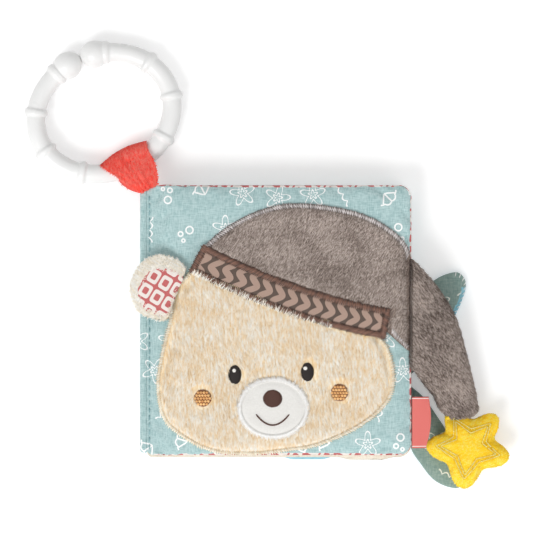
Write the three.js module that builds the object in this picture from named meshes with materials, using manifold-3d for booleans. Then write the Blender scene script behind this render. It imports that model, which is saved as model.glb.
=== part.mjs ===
// A soft cloth book that lies on its back cover, front cover up, with its spine along the left.
// Millimetres, +Z up, +Y to the top edge of the book. The origin is the middle of the underside.

import * as THREE from 'three';
import Module from 'manifold-3d';

const wasm = await Module();
wasm.setup();

// Book
const coverWidth = 122.5;
const coverHeight = 121.7;
const cornerRadius = 6;
const coverThickness = 5.2;
const pageThickness = 4.8;
const clothThickness = 0.7;
const stuffingGap = 0.4;
const foldedClothThickness = 0.35;
const sewnClearance = 0.3;
const leafGap = 0.35;
const pageDrop = 1.2;
const rimWidth = 13;
const frontSwell = 0.6;
const bindingRadius = 1.9;
const bindingSetback = 5;
const spineTaper = 11.8;
const foilThickness = 0.4;
const overrun = 16;

// Bear
const headWidth = 107.2;
const headHeight = 83.2;
const headDrop = 19;
const plushThickness = 1.9;
const muzzleWidth = 30.6;
const muzzleHeight = 26.2;
const muzzleThickness = 0.9;
const noseWidth = 8.6;
const noseHeight = 7.6;
const stitchThickness = 0.7;
const mouthWidth = 15;
const mouthDepth = 4.9;
const mouthStroke = 0.9;
const eyeWidth = 6;
const eyeHeight = 8.4;
const cheekDiameter = 8.5;

// Nightcap
const capWidth = 96;
const capHeight = 67;
const capTopMargin = 8.25;
const tipRootRise = 8.5;
const ribbonWidth = 13.6;
const ribbonBorder = 1.8;
const ribbonThickness = 2.2;
const tipReach = 30.4;
const tipDrop = 71.9;
const tipThickness = 9.4;
const tipRootThickness = 1.6;
const tipEndThickness = 6.4;
const tipHingeRise = 1.8;

// Star
const starRadius = 18.9;
const starTurn = 48;
const starSeamReach = 16.25;
const starSeamShift = 1.6;
const starWaistRadius = 12.6;
const starThickness = 9;
const starHeight = 11;
const starSeamThickness = 1.6;
const starSeamWidth = 7;

// Ear
const earWidth = 25.6;
const earHeight = 28.2;
const earThickness = 3.2;
const earInsetThickness = 0.5;

// Tag
const tagWidth = 24.3;
const tagDrop = 34.1;
const tagReach = 8.4;
const tagLowReach = 5.8;
const tagRibbonThickness = 0.4;
const tagDroop = 1.1;

// Tail
const tailReach = 25.2;
const tailSpan = 98;
const tailDrop = 27.6;
const tailThickness = 3.6;
const tailLift = 0.2;

// Ring and loop
const ringLength = 63.3;
const ringWidth = 53.8;
const ringTubeRadius = 4.35;
const collarRadius = 5.4;
const collarLength = 2.2;
const ballRadius = 6.3;
const ringLift = 6.5;
const ringRise = 33;
const ringSideways = 18.6;
const loopWall = 1.75;
const loopSlack = 3.6;
const loopNeckRadius = 1.6;
const loopNeckThickness = 2.8;
const loopNeckWidth = 8.6;
const loopClearance = 0.45;
const loopEdgeGap = 1.1;

// Places round the oval of the ring, in degrees
const ringTilt = 22.6;
const ballAngles = [102.6, 438.4];
const firstCollar = 429.2;
const collarPitch = 39.4;
const loopAngles = [-103.4, -66.2];
const boreAngles = [-130, -40];

// Turns of the ring in its loop, in degrees, for which the loop is left open
const turnAngles = [-14, -8, -2, 4];

// Levels worked out from the sizes above
const halfHeight = coverHeight / 2;
const spineX = bindingRadius - coverWidth / 2;
const foreEdgeX = coverWidth / 2;
const leafStart = bindingRadius + sewnClearance;
const leafReach = foreEdgeX - spineX;
const seamHalf = sewnClearance / 2;
const rimHalf = seamHalf + clothThickness;
const channelHalf = seamHalf + foldedClothThickness;
const backMiddle = coverThickness / 2;
const lowPageMiddle = coverThickness + leafGap + pageThickness / 2;
const highPageMiddle = lowPageMiddle + pageThickness + leafGap;
const frontMiddle = highPageMiddle + pageThickness / 2 + leafGap + coverThickness / 2;
const faceStack = frontSwell + plushThickness + muzzleThickness + stitchThickness + sewnClearance * 3;
const spineZ = (frontMiddle + coverThickness / 2 + faceStack) / 2;
const channelStep = channelHalf * 2 + leafGap;

function lerp(from, to, share) {
  return from + (to - from) * share;
}

function smooth(share) {
  const held = Math.min(Math.max(share, 0), 1);
  return held * held * (3 - 2 * held);
}

function radians(degrees) {
  return THREE.MathUtils.degToRad(degrees);
}

function geometryOf(points, faces) {
  const geometry = new THREE.BufferGeometry();
  const numbers = points.flatMap((point) => point.toArray());
  geometry.setAttribute('position', new THREE.Float32BufferAttribute(numbers, 3));
  geometry.setIndex(faces);
  return geometry;
}

// Closed body through loops of points. Each loop turns right-handed about the way the loops are listed,
// and a loop of one point is a pole.
function bodyFromLoops(loops) {
  const faces = [];
  let base = 0;
  for (let k = 0; k + 1 < loops.length; k += 1) {
    const low = loops[k].length;
    const high = loops[k + 1].length;
    const count = Math.max(low, high);
    const upper = base + low;
    for (let i = 0; i < count; i += 1) {
      const next = (i + 1) % count;
      if (low > 1) {
        faces.push(base + i, base + next, upper + (high > 1 ? next : 0));
      }
      if (high > 1) {
        faces.push(base + (low > 1 ? i : 0), upper + next, upper + i);
      }
    }
    base = upper;
  }
  return geometryOf(loops.flat(), faces);
}

// Closed body between an upper and a lower sheet of points on the same grid of rows.
function bodyFromSheets(upper, lower) {
  const rows = upper.length;
  const columns = upper[0].length;
  const count = rows * columns;
  const faces = [];
  for (let j = 0; j + 1 < rows; j += 1) {
    for (let i = 0; i + 1 < columns; i += 1) {
      const a = j * columns + i;
      const b = a + 1;
      const c = b + columns;
      const d = a + columns;
      faces.push(a, b, c, a, c, d);
      faces.push(count + a, count + c, count + b, count + a, count + d, count + c);
    }
  }
  const along = Array.from({ length: columns - 1 }, (unused, i) => i);
  const aside = Array.from({ length: rows - 1 }, (unused, j) => j);
  const rim = [
    ...along,
    ...aside.map((j) => j * columns + columns - 1),
    ...along.map((i) => rows * columns - 1 - i),
    ...aside.map((j) => (rows - 1 - j) * columns),
  ];
  rim.forEach((a, k) => {
    const b = rim[(k + 1) % rim.length];
    faces.push(count + a, count + b, b, count + a, b, a);
  });
  return geometryOf([...upper.flat(), ...lower.flat()], faces);
}

function toSolid(geometry) {
  const vertProperties = new Float32Array(geometry.attributes.position.array);
  const triVerts = new Uint32Array(geometry.index.array);
  return new wasm.Manifold(new wasm.Mesh({ numProp: 3, vertProperties, triVerts }));
}

function fromSolid(solid) {
  const mesh = solid.getMesh();
  const geometry = new THREE.BufferGeometry();
  geometry.setAttribute('position', new THREE.Float32BufferAttribute(mesh.vertProperties, 3));
  geometry.setIndex(Array.from(mesh.triVerts));
  return geometry;
}

const book = new THREE.Group();

function add(name, geometry, finish) {
  const mesh = new THREE.Mesh(geometry, finish);
  mesh.name = name;
  book.add(mesh);
}

function cloth(colour, roughness = 0.95) {
  return new THREE.MeshStandardMaterial({ color: colour, roughness, metalness: 0 });
}

const tealCotton = cloth('#a8c8c6');
const blueVelour = cloth('#a6cfe0');
const creamCotton = cloth('#efe6d4');
const latticeCotton = cloth('#f0dedb');
const wadding = cloth('#f6f4ee');
const creamPlush = cloth('#f0debe');
const whiteFelt = cloth('#f4f2ee');
const darkThread = cloth('#50372d', 0.7);
const cheekThread = cloth('#cd965a', 0.7);
const greyPlush = cloth('#8c8078');
const wovenRibbon = cloth('#7f685c', 0.8);
const satinThread = cloth('#5f483e', 0.6);
const yellowPlush = cloth('#fad032');
const coralPlush = cloth('#ec5c52');
const tagRibbon = cloth('#e26e66', 0.6);
const rustlingFoil = cloth('#dfe3e6', 0.3);
const whitePlastic = cloth('#f0f0ee', 0.35);

// Leaves: two cloths sewn round a wadding, thick in the middle, thin at the seams and at the spine
const rimShares = [0, 0.08, 0.24, 0.54, 1];
const taperShares = [0, 0.2, 0.5, 1];
const reaches = [
  ...taperShares.map((share) => leafStart + spineTaper * share),
  (leafStart + spineTaper + leafReach - rimWidth) / 2,
  ...rimShares.map((share) => leafReach - rimWidth * share).reverse(),
];
const crossings = [
  ...rimShares.map((share) => rimWidth * share - halfHeight),
  0,
  ...rimShares.map((share) => halfHeight - rimWidth * share).reverse(),
];

function cornerInset(y) {
  const past = Math.max(0, Math.abs(y) - (halfHeight - cornerRadius));
  return cornerRadius - Math.sqrt(Math.max(0, cornerRadius ** 2 - past ** 2));
}

// How far a point lies inside the three free edges of a leaf
function edgeDistance(reach, y) {
  const pastX = reach - (leafReach - cornerRadius);
  const pastY = Math.abs(y) - (halfHeight - cornerRadius);
  const corner = Math.hypot(Math.max(pastX, 0), Math.max(pastY, 0));
  return Math.max(0, cornerRadius - corner - Math.min(Math.max(pastX, pastY), 0));
}

// Levels of one leaf at a place: its outer faces and the inner faces of its two cloths
function leafLevels(leaf, reach, y) {
  const spineShare = smooth((reach - leafStart) / spineTaper);
  const inward = Math.min(edgeDistance(reach, y) / rimWidth, 1);
  const crown = Math.sqrt(1 - (1 - inward) ** 2);
  const body = lerp(rimHalf, leaf.thickness / 2, crown);
  const half = lerp(channelHalf, body, spineShare);
  const middle = lerp(leaf.channel, leaf.middle, spineShare);
  const wall = lerp(foldedClothThickness, clothThickness, spineShare);
  const across = 1 - (2 * reach / leafReach - 1) ** 2;
  const along = 1 - (y / halfHeight) ** 2;
  const swell = leaf.swell * Math.max(0, across * along) * spineShare;
  const top = middle + half + swell;
  const bottom = middle - half;
  return { top, bottom, topInside: top - wall, bottomInside: bottom + wall };
}

// One sheet of a leaf on part of its grid, trimmed by whole grid lines at the spine and at the free edges
function leafSheet(leaf, level, spineTrim = 0, edgeTrim = 0) {
  return crossings.slice(edgeTrim, crossings.length - edgeTrim).map((y) => {
    const inset = cornerInset(y);
    const start = leafStart + inset;
    const end = leafReach - inset;
    return reaches.slice(spineTrim, reaches.length - edgeTrim).map((line) => {
      const reach = lerp(start, end, (line - leafStart) / (leafReach - leafStart));
      const z = level(leafLevels(leaf, reach, y));
      return new THREE.Vector3(spineX + reach, y - leaf.drop, z);
    });
  });
}

const leafCount = 4;

function leafAt(order, thickness, middle, swell, drop) {
  const channel = spineZ + channelStep * (order - (leafCount - 1) / 2);
  return { thickness, middle, channel, swell, drop };
}

const leaves = {
  back: leafAt(0, coverThickness, backMiddle, 0, 0),
  low: leafAt(1, pageThickness, lowPageMiddle, 0, pageDrop),
  high: leafAt(2, pageThickness, highPageMiddle, 0, pageDrop),
  front: leafAt(3, coverThickness, frontMiddle, frontSwell, 0),
};
const paddingTrim = 2;
const foilTrim = 3;

function upperCloth(leaf) {
  return bodyFromSheets(leafSheet(leaf, (at) => at.top), leafSheet(leaf, (at) => at.topInside));
}

function lowerCloth(leaf) {
  return bodyFromSheets(leafSheet(leaf, (at) => at.bottomInside), leafSheet(leaf, (at) => at.bottom));
}

function padding(leaf, roomAbove = 0) {
  const top = (at) => at.topInside - sewnClearance - roomAbove;
  const bottom = (at) => at.bottomInside + sewnClearance;
  return bodyFromSheets(
    leafSheet(leaf, top, paddingTrim, paddingTrim),
    leafSheet(leaf, bottom, paddingTrim, paddingTrim),
  );
}

add('back_cover_cloth', lowerCloth(leaves.back), tealCotton);
add('back_cover_padding', padding(leaves.back), wadding);
add('back_cover_lining', upperCloth(leaves.back), latticeCotton);
add('page_2_back_cloth', lowerCloth(leaves.low), blueVelour);
add('page_2_padding', padding(leaves.low), wadding);
add('page_2_front_cloth', upperCloth(leaves.low), blueVelour);
add('page_1_back_cloth', lowerCloth(leaves.high), creamCotton);
add('page_1_padding', padding(leaves.high), wadding);
add('page_1_front_cloth', upperCloth(leaves.high), creamCotton);
add('front_cover_lining', lowerCloth(leaves.front), latticeCotton);
add('front_cover_padding', padding(leaves.front, foilThickness + sewnClearance), wadding);
add('front_cover_cloth', upperCloth(leaves.front), tealCotton);

// Rustling foil between the wadding and the front cloth
const foilTop = (at) => at.topInside - sewnClearance;
const foilBottom = (at) => foilTop(at) - foilThickness;
add('crinkle_foil', bodyFromSheets(
  leafSheet(leaves.front, foilTop, foilTrim, foilTrim),
  leafSheet(leaves.front, foilBottom, foilTrim, foilTrim),
), rustlingFoil);

// Spine binding, a rolled strip of cloth that all four leaves turn about
const bindingEndShares = [[0, 0], [0.7, 0.08], [1, 0.5]];
const bindingHalf = halfHeight - bindingSetback;
const bindingSides = 14;

// Round loop about the axis of the spine
function spineLoop(radius, y, sides) {
  return Array.from({ length: radius > 0 ? sides : 1 }, (unused, k) => {
    const angle = -2 * Math.PI * k / sides;
    return new THREE.Vector3(spineX + radius * Math.cos(angle), y, spineZ + radius * Math.sin(angle));
  });
}

function bindingEnd(side) {
  return bindingEndShares.map(([out, inward]) => (
    spineLoop(bindingRadius * out, side * (bindingHalf - bindingRadius * inward), bindingSides)
  ));
}

add('spine_binding', bodyFromLoops([...bindingEnd(-1), ...bindingEnd(1).reverse()]), tealCotton);

// Outlines, each a closed list of points in the plane of the cover
function smoothOutline(shares, centre, halfX, halfY, count) {
  const points = shares.map(([x, y]) => new THREE.Vector3(centre.x + halfX * x, centre.y + halfY * y, 0));
  const curve = new THREE.CatmullRomCurve3(points, true, 'centripetal');
  return curve.getSpacedPoints(count).slice(0, count);
}

function ellipseOutline(centre, width, height, count) {
  return Array.from({ length: count }, (unused, k) => {
    const angle = 2 * Math.PI * k / count;
    const place = new THREE.Vector3(width / 2 * Math.cos(angle), height / 2 * Math.sin(angle), 0);
    return place.add(centre);
  });
}

// Body over an outline. Each ring is a share of the way from the centre to the outline, with its level.
function bodyOverOutline(outline, centre, rings) {
  return bodyFromLoops(rings.map(([share, level]) => {
    const loop = share > 0 ? outline : [centre];
    return loop.map((point) => {
      const place = new THREE.Vector3().lerpVectors(centre, point, share);
      place.z = level(place.x, place.y, share);
      return place;
    });
  }));
}

// Patches sewn to the front cover, shaped to what they lie on and rounded at the edge
function coverTop(x, y) {
  return leafLevels(leaves.front, Math.max(leafStart, x - spineX), y).top;
}

const patchEdgeShare = 0.45;
const patchShoulderShare = 0.9;

function patch(outline, centre, thickness, carrierTop, shares) {
  const foot = (x, y) => carrierTop(x, y) - sewnClearance;
  const level = (share) => (x, y) => carrierTop(x, y) + sewnClearance + thickness * share;
  return bodyOverOutline(outline, centre, [
    [0, foot],
    [1, foot],
    [1, level(patchEdgeShare)],
    [shares[0], level(patchShoulderShare)],
    ...shares.slice(1).map((share) => [share, level(1)]),
    [0, level(1)],
  ]);
}

function raised(geometry) {
  return toSolid(geometry.clone().translate(0, 0, sewnClearance));
}

const coverBlock = raised(bodyFromSheets(
  leafSheet(leaves.front, (at) => at.top),
  leafSheet(leaves.front, () => frontMiddle - coverThickness),
));

const capCentre = new THREE.Vector3(
  foreEdgeX - sewnClearance - capWidth / 2,
  halfHeight - capTopMargin - capHeight / 2,
  0,
);

// Ribbon round the cap, a strip along a gentle bend
const ribbonShares = [[-1.016, 0.269], [-0.091, -0.412], [0.78, -0.621]];
const ribbonPath = new THREE.QuadraticBezierCurve3(...ribbonShares.map(([x, y]) => (
  new THREE.Vector3(capCentre.x + capWidth / 2 * x, capCentre.y + capHeight / 2 * y, 0)
)));
const ribbonSteps = 12;

// Strip along the ribbon's path between two offsets to its side, lengthened at both ends
function ribbonStrip(low, high, lengthen, floor, ceiling) {
  const upper = [[], []];
  for (let k = 0; k <= ribbonSteps; k += 1) {
    const point = ribbonPath.getPointAt(k / ribbonSteps);
    const along = ribbonPath.getTangentAt(k / ribbonSteps);
    const side = new THREE.Vector3(-along.y, along.x, 0);
    const stretch = (k === ribbonSteps ? lengthen : 0) - (k === 0 ? lengthen : 0);
    point.addScaledVector(along, stretch);
    upper[0].push(point.clone().addScaledVector(side, low));
    upper[1].push(point.clone().addScaledVector(side, high));
  }
  const lower = upper.map((row) => row.map((point) => point.clone().setZ(floor)));
  upper.flat().forEach((point) => point.setZ(ceiling(point.x, point.y)));
  return toSolid(bodyFromSheets(upper, lower));
}

const clearSky = () => frontMiddle + overrun;
const ribbonHalf = ribbonWidth / 2;
const underRibbon = frontMiddle - coverThickness;
const ribbonClear = ribbonStrip(
  -ribbonHalf - sewnClearance, ribbonHalf + sewnClearance, sewnClearance, underRibbon, clearSky,
);
const ribbonTop = (x, y) => coverTop(x, y) + sewnClearance + ribbonThickness;
const wovenHalf = ribbonHalf - ribbonBorder;
const wovenClear = ribbonStrip(-wovenHalf, wovenHalf, -ribbonBorder, underRibbon, clearSky);
const wovenStrip = ribbonStrip(
  sewnClearance - wovenHalf, wovenHalf - sewnClearance, -ribbonBorder - sewnClearance, frontMiddle, ribbonTop,
);
const borderStrip = ribbonStrip(-ribbonHalf, ribbonHalf, 0, frontMiddle, ribbonTop);
add('hat_band', fromSolid(wovenStrip.subtract(coverBlock)), wovenRibbon);
add('hat_band_border', fromSolid(borderStrip.subtract(wovenClear).subtract(coverBlock)), satinThread);

// Crown of the cap, which ends at the fold along the fore edge
const capShares = [
  [1, -0.985], [1, -0.35], [1, 0.3], [0.94, 0.485], [0.764, 0.701], [0.536, 0.863], [0.278, 0.952],
  [-0.041, 1], [-0.255, 0.976], [-0.516, 0.851], [-0.757, 0.654], [-0.932, 0.43], [-0.985, 0.31],
  [-0.058, -0.288], [0.646, -0.563], [0.779, -0.697],
];
const capPoints = 40;
const capOutline = smoothOutline(capShares, capCentre, capWidth / 2, capHeight / 2, capPoints)
  .map((point) => point.setX(Math.min(point.x, foreEdgeX - sewnClearance)));
const capMiddleShare = 0.1;
const plushRingShares = [0.95, 0.8, 0.4];
const capMiddle = new THREE.Vector3(capCentre.x + capWidth * capMiddleShare, capCentre.y, 0);
const cap = patch(capOutline, capMiddle, plushThickness, coverTop, plushRingShares);
add('hat_crown', fromSolid(toSolid(cap).subtract(ribbonClear).subtract(coverBlock)), greyPlush);

// Head, cut under the ribbon
const headShares = [
  [-0.732, 0.963], [-0.84, 0.802], [-0.895, 0.441], [-0.971, 0.042], [-1, -0.282], [-0.941, -0.619],
  [-0.751, -0.835], [-0.529, -0.965], [-0.229, -1], [0.102, -0.958], [0.335, -0.907], [0.74, -0.667],
  [0.956, -0.398], [1, -0.162], [0.951, 0.144], [0.884, 0.276], [0.821, 0.421], [0.183, 0.649],
  [-0.616, 1.094], [-0.69, 1.046],
];
const headPoints = 44;
const headMiddleShare = 0.04;
const headCentre = new THREE.Vector3(0, -headDrop, 0);
const headMiddle = new THREE.Vector3(0, -headDrop - headHeight * headMiddleShare, 0);
const headOutline = smoothOutline(headShares, headCentre, headWidth / 2, headHeight / 2, headPoints);
const head = patch(headOutline, headMiddle, plushThickness, coverTop, plushRingShares);
add('bear_head', fromSolid(toSolid(head).subtract(ribbonClear).subtract(coverBlock)), creamPlush);

// Face, placed by shares of the head's half width and half height
const placeShares = {
  muzzle: [-0.021, -0.492],
  nose: [-0.025, -0.388],
  mouth: [-0.025, -0.557],
  leftEye: [-0.342, -0.131],
  rightEye: [0.266, -0.102],
  leftCheek: [-0.611, -0.383],
  rightCheek: [0.536, -0.323],
  ear: [-0.813, 0.722],
};

function onHead([x, y]) {
  return new THREE.Vector3(headCentre.x + headWidth / 2 * x, headCentre.y + headHeight / 2 * y, 0);
}

const headTop = (x, y) => coverTop(x, y) + sewnClearance + plushThickness;
const headBlock = raised(head);

const muzzlePoints = 28;
const muzzleRingShares = [0.92, 0.5];
const muzzleCentre = onHead(placeShares.muzzle);
const muzzleOutline = ellipseOutline(muzzleCentre, muzzleWidth, muzzleHeight, muzzlePoints);
const muzzle = patch(muzzleOutline, muzzleCentre, muzzleThickness, headTop, muzzleRingShares);
add('muzzle', fromSolid(toSolid(muzzle).subtract(headBlock)), whiteFelt);

const muzzleTop = (x, y) => headTop(x, y) + sewnClearance + muzzleThickness;
const muzzleBlock = raised(muzzle);

const ovalPoints = 16;
const ovalRingShares = [0.75, 0.4];

function stitchedOval(place, width, height, carrierTop, block) {
  const centre = onHead(place);
  const outline = ellipseOutline(centre, width, height, ovalPoints);
  const oval = patch(outline, centre, stitchThickness, carrierTop, ovalRingShares);
  return fromSolid(toSolid(oval).subtract(block));
}

function eye(place) {
  return stitchedOval(place, eyeWidth, eyeHeight, headTop, headBlock);
}

function cheek(place) {
  return stitchedOval(place, cheekDiameter, cheekDiameter, headTop, headBlock);
}

const nose = stitchedOval(placeShares.nose, noseWidth, noseHeight, muzzleTop, muzzleBlock);
add('nose', nose, darkThread);
add('left_eye', eye(placeShares.leftEye), darkThread);
add('right_eye', eye(placeShares.rightEye), darkThread);
add('left_cheek', cheek(placeShares.leftCheek), cheekThread);
add('right_cheek', cheek(placeShares.rightCheek), cheekThread);

// Smile, one line of satin stitch along a shallow bow
const mouthPlace = onHead(placeShares.mouth);
const mouthSteps = 8;
const mouthRows = [-1, 1].map((side) => Array.from({ length: mouthSteps + 1 }, (unused, k) => {
  const across = 2 * k / mouthSteps - 1;
  const x = mouthPlace.x + mouthWidth / 2 * across;
  const y = mouthPlace.y - mouthDepth * (1 - across ** 2) + mouthStroke / 2 * side;
  return new THREE.Vector3(x, y, muzzleTop(x, y) + sewnClearance + stitchThickness);
}));
const mouthFoot = mouthRows.map((row) => row.map((point) => (
  point.clone().setZ(muzzleTop(point.x, point.y) - sewnClearance)
)));
const mouth = toSolid(bodyFromSheets(mouthRows, mouthFoot));
add('mouth_stitch', fromSolid(mouth.subtract(muzzleBlock)), darkThread);

// Padded pieces of two cloths round a stuffing, over an outline, with their seam at mid height
const padShares = [0.6, 0.88];

function padLevels(pad, x, y, share) {
  const seam = pad.seam ? pad.seam(x, y) : 1;
  const crown = Math.sqrt(1 - Math.min(share, 1) ** 2) * seam;
  const half = lerp(rimHalf, pad.thickness / 2, crown);
  return { half, inside: Math.max(seamHalf, half - clothThickness) };
}

function padUpper(pad) {
  const inner = (x, y, share) => pad.level + padLevels(pad, x, y, share).inside;
  const outer = (x, y, share) => pad.level + padLevels(pad, x, y, share).half;
  const inward = [...padShares].reverse();
  return bodyOverOutline(pad.outline, pad.centre, [
    [0, inner], ...padShares.map((share) => [share, inner]), [1, inner],
    [1, outer], ...inward.map((share) => [share, outer]), [0, outer],
  ]);
}

function padLower(pad) {
  const inner = (x, y, share) => pad.level - padLevels(pad, x, y, share).inside;
  const outer = (x, y, share) => pad.level - padLevels(pad, x, y, share).half;
  const inward = [...padShares].reverse();
  return bodyOverOutline(pad.outline, pad.centre, [
    [0, outer], ...padShares.map((share) => [share, outer]), [1, outer],
    [1, inner], ...inward.map((share) => [share, inner]), [0, inner],
  ]);
}

function padStuffing(pad) {
  const top = (x, y, share) => pad.level + padLevels(pad, x, y, share).inside - stuffingGap;
  const bottom = (x, y, share) => pad.level - padLevels(pad, x, y, share).inside + stuffingGap;
  const inward = [...padShares].reverse();
  return bodyOverOutline(pad.outline, pad.centre, [
    [0, bottom],
    ...padShares.map((share) => [share, bottom]),
    ...inward.map((share) => [share, top]),
    [0, top],
  ]);
}

// Ear flap, sewn under the edge of the head and lying over the spine
const earRoot = onHead(placeShares.ear);
const earShares = [
  [0.84, 0.62], [0.1, 1], [-0.5, 0.85], [-0.9, 0.35], [-1, -0.02], [-0.72, -0.72], [-0.25, -0.93],
  [0.24, -0.97], [0.42, -0.5], [0.65, 0.12],
];
const earRootShares = [0.32, -0.12];
const earMiddleShare = 0.05;
const earInsetShare = 0.72;
const insetShoulderShare = 0.6;
const earPoints = 22;
const insetPoints = 18;
const earCentre = new THREE.Vector3(
  earRoot.x - earWidth * earRootShares[0],
  earRoot.y - earHeight * earRootShares[1],
  0,
);
const earPad = {
  outline: smoothOutline(earShares, earCentre, earWidth / 2, earHeight / 2, earPoints),
  centre: new THREE.Vector3(earCentre.x - earWidth * earMiddleShare, earCentre.y, 0),
  thickness: earThickness,
  level: frontMiddle + coverThickness / 2 + frontSwell + sewnClearance + earThickness / 2,
};
const headClearShare = 1 + sewnClearance * 2 / headWidth;
const headClear = raised(bodyOverOutline(
  headOutline.map((point) => new THREE.Vector3().lerpVectors(headMiddle, point, headClearShare)),
  headMiddle,
  [[0, () => frontMiddle], [1, () => frontMiddle], [1, clearSky], [0, clearSky]],
));
add('ear_front', fromSolid(toSolid(padUpper(earPad)).subtract(headClear)), creamPlush);
add('ear_back', fromSolid(toSolid(padLower(earPad)).subtract(headClear)), tealCotton);

const insetCentre = new THREE.Vector3(
  earCentre.x + earWidth * earMiddleShare,
  earCentre.y - earHeight * earMiddleShare,
  0,
);
const insetOutline = smoothOutline(
  earShares, insetCentre, earWidth / 2 * earInsetShare, earHeight / 2 * earInsetShare, insetPoints,
);
const earTop = (x, y) => {
  const share = Math.hypot((x - earPad.centre.x) / earWidth, (y - earPad.centre.y) / earHeight) * 2;
  return earPad.level + padLevels(earPad, x, y, share).half;
};
const underEar = () => earPad.level - earThickness;
const earBlock = raised(bodyOverOutline(earPad.outline, earPad.centre, [
  [0, underEar],
  [1, underEar],
  ...[1, ...[...padShares].reverse(), 0].map((share) => (
    [share, (x, y) => earPad.level + padLevels(earPad, x, y, share).half]
  )),
]));
const insetTop = (x, y) => earTop(x, y) + sewnClearance + earInsetThickness;
const earInset = bodyOverOutline(insetOutline, insetCentre, [
  [0, () => earPad.level],
  [1, () => earPad.level],
  [1, insetTop],
  [insetShoulderShare, insetTop],
  [0, insetTop],
]);
add('ear_inset', fromSolid(toSolid(earInset).subtract(earBlock).subtract(headClear)), latticeCotton);

// Hanging tip of the cap, stuffed, between a right edge and a left edge
const tipRoot = new THREE.Vector3(foreEdgeX + sewnClearance, capCentre.y + tipRootRise, 0);
const tipRightShares = [
  [0, 0], [0.319, -0.15], [0.618, -0.346], [0.809, -0.601], [0.934, -0.821], [0.985, -0.93],
];
const tipLeftShares = [[0, -0.683], [0.211, -0.798], [0.324, -0.857], [0.414, -0.937], [0.52, -0.985]];
const tipStationShares = [0, 0.06, 0.16, 0.3, 0.46, 0.64, 0.82, 0.94, 1];
const tipFullShare = 0.45;
const tipClosingShare = 0.92;
const tipClosedShare = 0.5;
const tipDroopShare = 0.8;
const tipSides = 6;
const tipFillingStart = 2;
const tipHingeZ = frontMiddle + tipHingeRise;

function tipEdge(shares) {
  return new THREE.CatmullRomCurve3(shares.map(([x, y]) => (
    new THREE.Vector3(tipRoot.x + tipReach * x, tipRoot.y + tipDrop * y, 0)
  )), false, 'centripetal');
}

const tipRight = tipEdge(tipRightShares);
const tipLeft = tipEdge(tipLeftShares);

function tipThicknessAt(share) {
  if (share < tipFullShare) {
    return lerp(tipRootThickness, tipThickness, Math.sin(share / tipFullShare * Math.PI / 2));
  }
  const thinning = smooth((share - tipFullShare) / (1 - tipFullShare));
  const closing = Math.max(0, share - tipClosingShare) / (1 - tipClosingShare);
  return lerp(tipThickness, tipEndThickness, thinning) * lerp(1, tipClosedShare, closing);
}

function tipSheet(side, level, trim = 0) {
  return tipStationShares.slice(0, tipStationShares.length - trim).map((share) => {
    const right = tipRight.getPointAt(share);
    const left = tipLeft.getPointAt(share);
    const middle = lerp(tipHingeZ, starHeight, smooth(share / tipDroopShare));
    const columns = tipSides + 1 - trim * 2;
    return Array.from({ length: columns }, (unused, k) => {
      const angle = Math.PI * (k + trim) / tipSides;
      const across = (1 - Math.cos(angle)) / 2;
      const half = lerp(rimHalf, tipThicknessAt(share) / 2, Math.sin(angle));
      const place = new THREE.Vector3().lerpVectors(right, left, across);
      return place.setZ(middle + side * level(Math.max(rimHalf, half)));
    });
  });
}

const tipOuter = (half) => half;
const tipInner = (half) => Math.max(seamHalf, half - clothThickness);
const tipFilling = (half) => tipInner(half) - sewnClearance;
add('hat_tip_front', bodyFromSheets(tipSheet(1, tipOuter), tipSheet(1, tipInner)), greyPlush);
add('hat_tip_back', bodyFromSheets(tipSheet(-1, tipInner), tipSheet(-1, tipOuter)), greyPlush);
const tipFillingTop = tipSheet(1, tipFilling, 1).slice(tipFillingStart);
const tipFillingBottom = tipSheet(-1, tipFilling, 1).slice(tipFillingStart);
add('hat_tip_stuffing', bodyFromSheets(tipFillingTop, tipFillingBottom), wadding);

// Star, five round arms, one of them flattened into the seam at the end of the cap
const starArms = 5;
const starPointsPerArm = 7;
const tipEndRight = tipRight.getPointAt(1);
const tipEndLeft = tipLeft.getPointAt(1);
const seamAlong = new THREE.Vector3().subVectors(tipEndRight, tipEndLeft).setZ(0).normalize();
const seamAway = new THREE.Vector3(seamAlong.y, -seamAlong.x, 0);
const seamPlace = new THREE.Vector3().addVectors(tipEndRight, tipEndLeft).multiplyScalar(0.5);
const starCentre = seamPlace.clone()
  .addScaledVector(seamAway, starSeamReach)
  .addScaledVector(seamAlong, -starSeamShift)
  .setZ(0);
const starOutline = Array.from({ length: starArms * starPointsPerArm }, (unused, k) => {
  const turn = 2 * Math.PI * k / starPointsPerArm;
  const angle = radians(starTurn) + turn / starArms;
  const radius = lerp(starWaistRadius, starRadius, (1 + Math.cos(turn)) / 2);
  return new THREE.Vector3(radius * Math.cos(angle), radius * Math.sin(angle), 0).add(starCentre);
});

function awayFromSeam(x, y) {
  return (x - seamPlace.x) * seamAway.x + (y - seamPlace.y) * seamAway.y;
}

const starPad = {
  outline: starOutline,
  centre: starCentre,
  thickness: starThickness,
  level: starHeight,
  seam: (x, y) => lerp(starSeamThickness / starThickness, 1, smooth(awayFromSeam(x, y) / starSeamWidth)),
};

// Everything on the cap's side of the seam is cut from the star
function seamCut(setback) {
  const reach = starRadius * 2;
  const corners = [[-1, -1], [1, -1], [1, 1], [-1, 1]].map(([along, across]) => (
    seamPlace.clone()
      .addScaledVector(seamAlong, reach * along)
      .addScaledVector(seamAway, setback - reach - reach * across)
  ));
  return toSolid(bodyFromLoops([
    [seamPlace.clone().addScaledVector(seamAway, -reach).setZ(starHeight - reach)],
    corners.map((point) => point.clone().setZ(starHeight - reach)),
    corners.map((point) => point.clone().setZ(starHeight + reach)),
    [seamPlace.clone().addScaledVector(seamAway, -reach).setZ(starHeight + reach)],
  ]));
}

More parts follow.
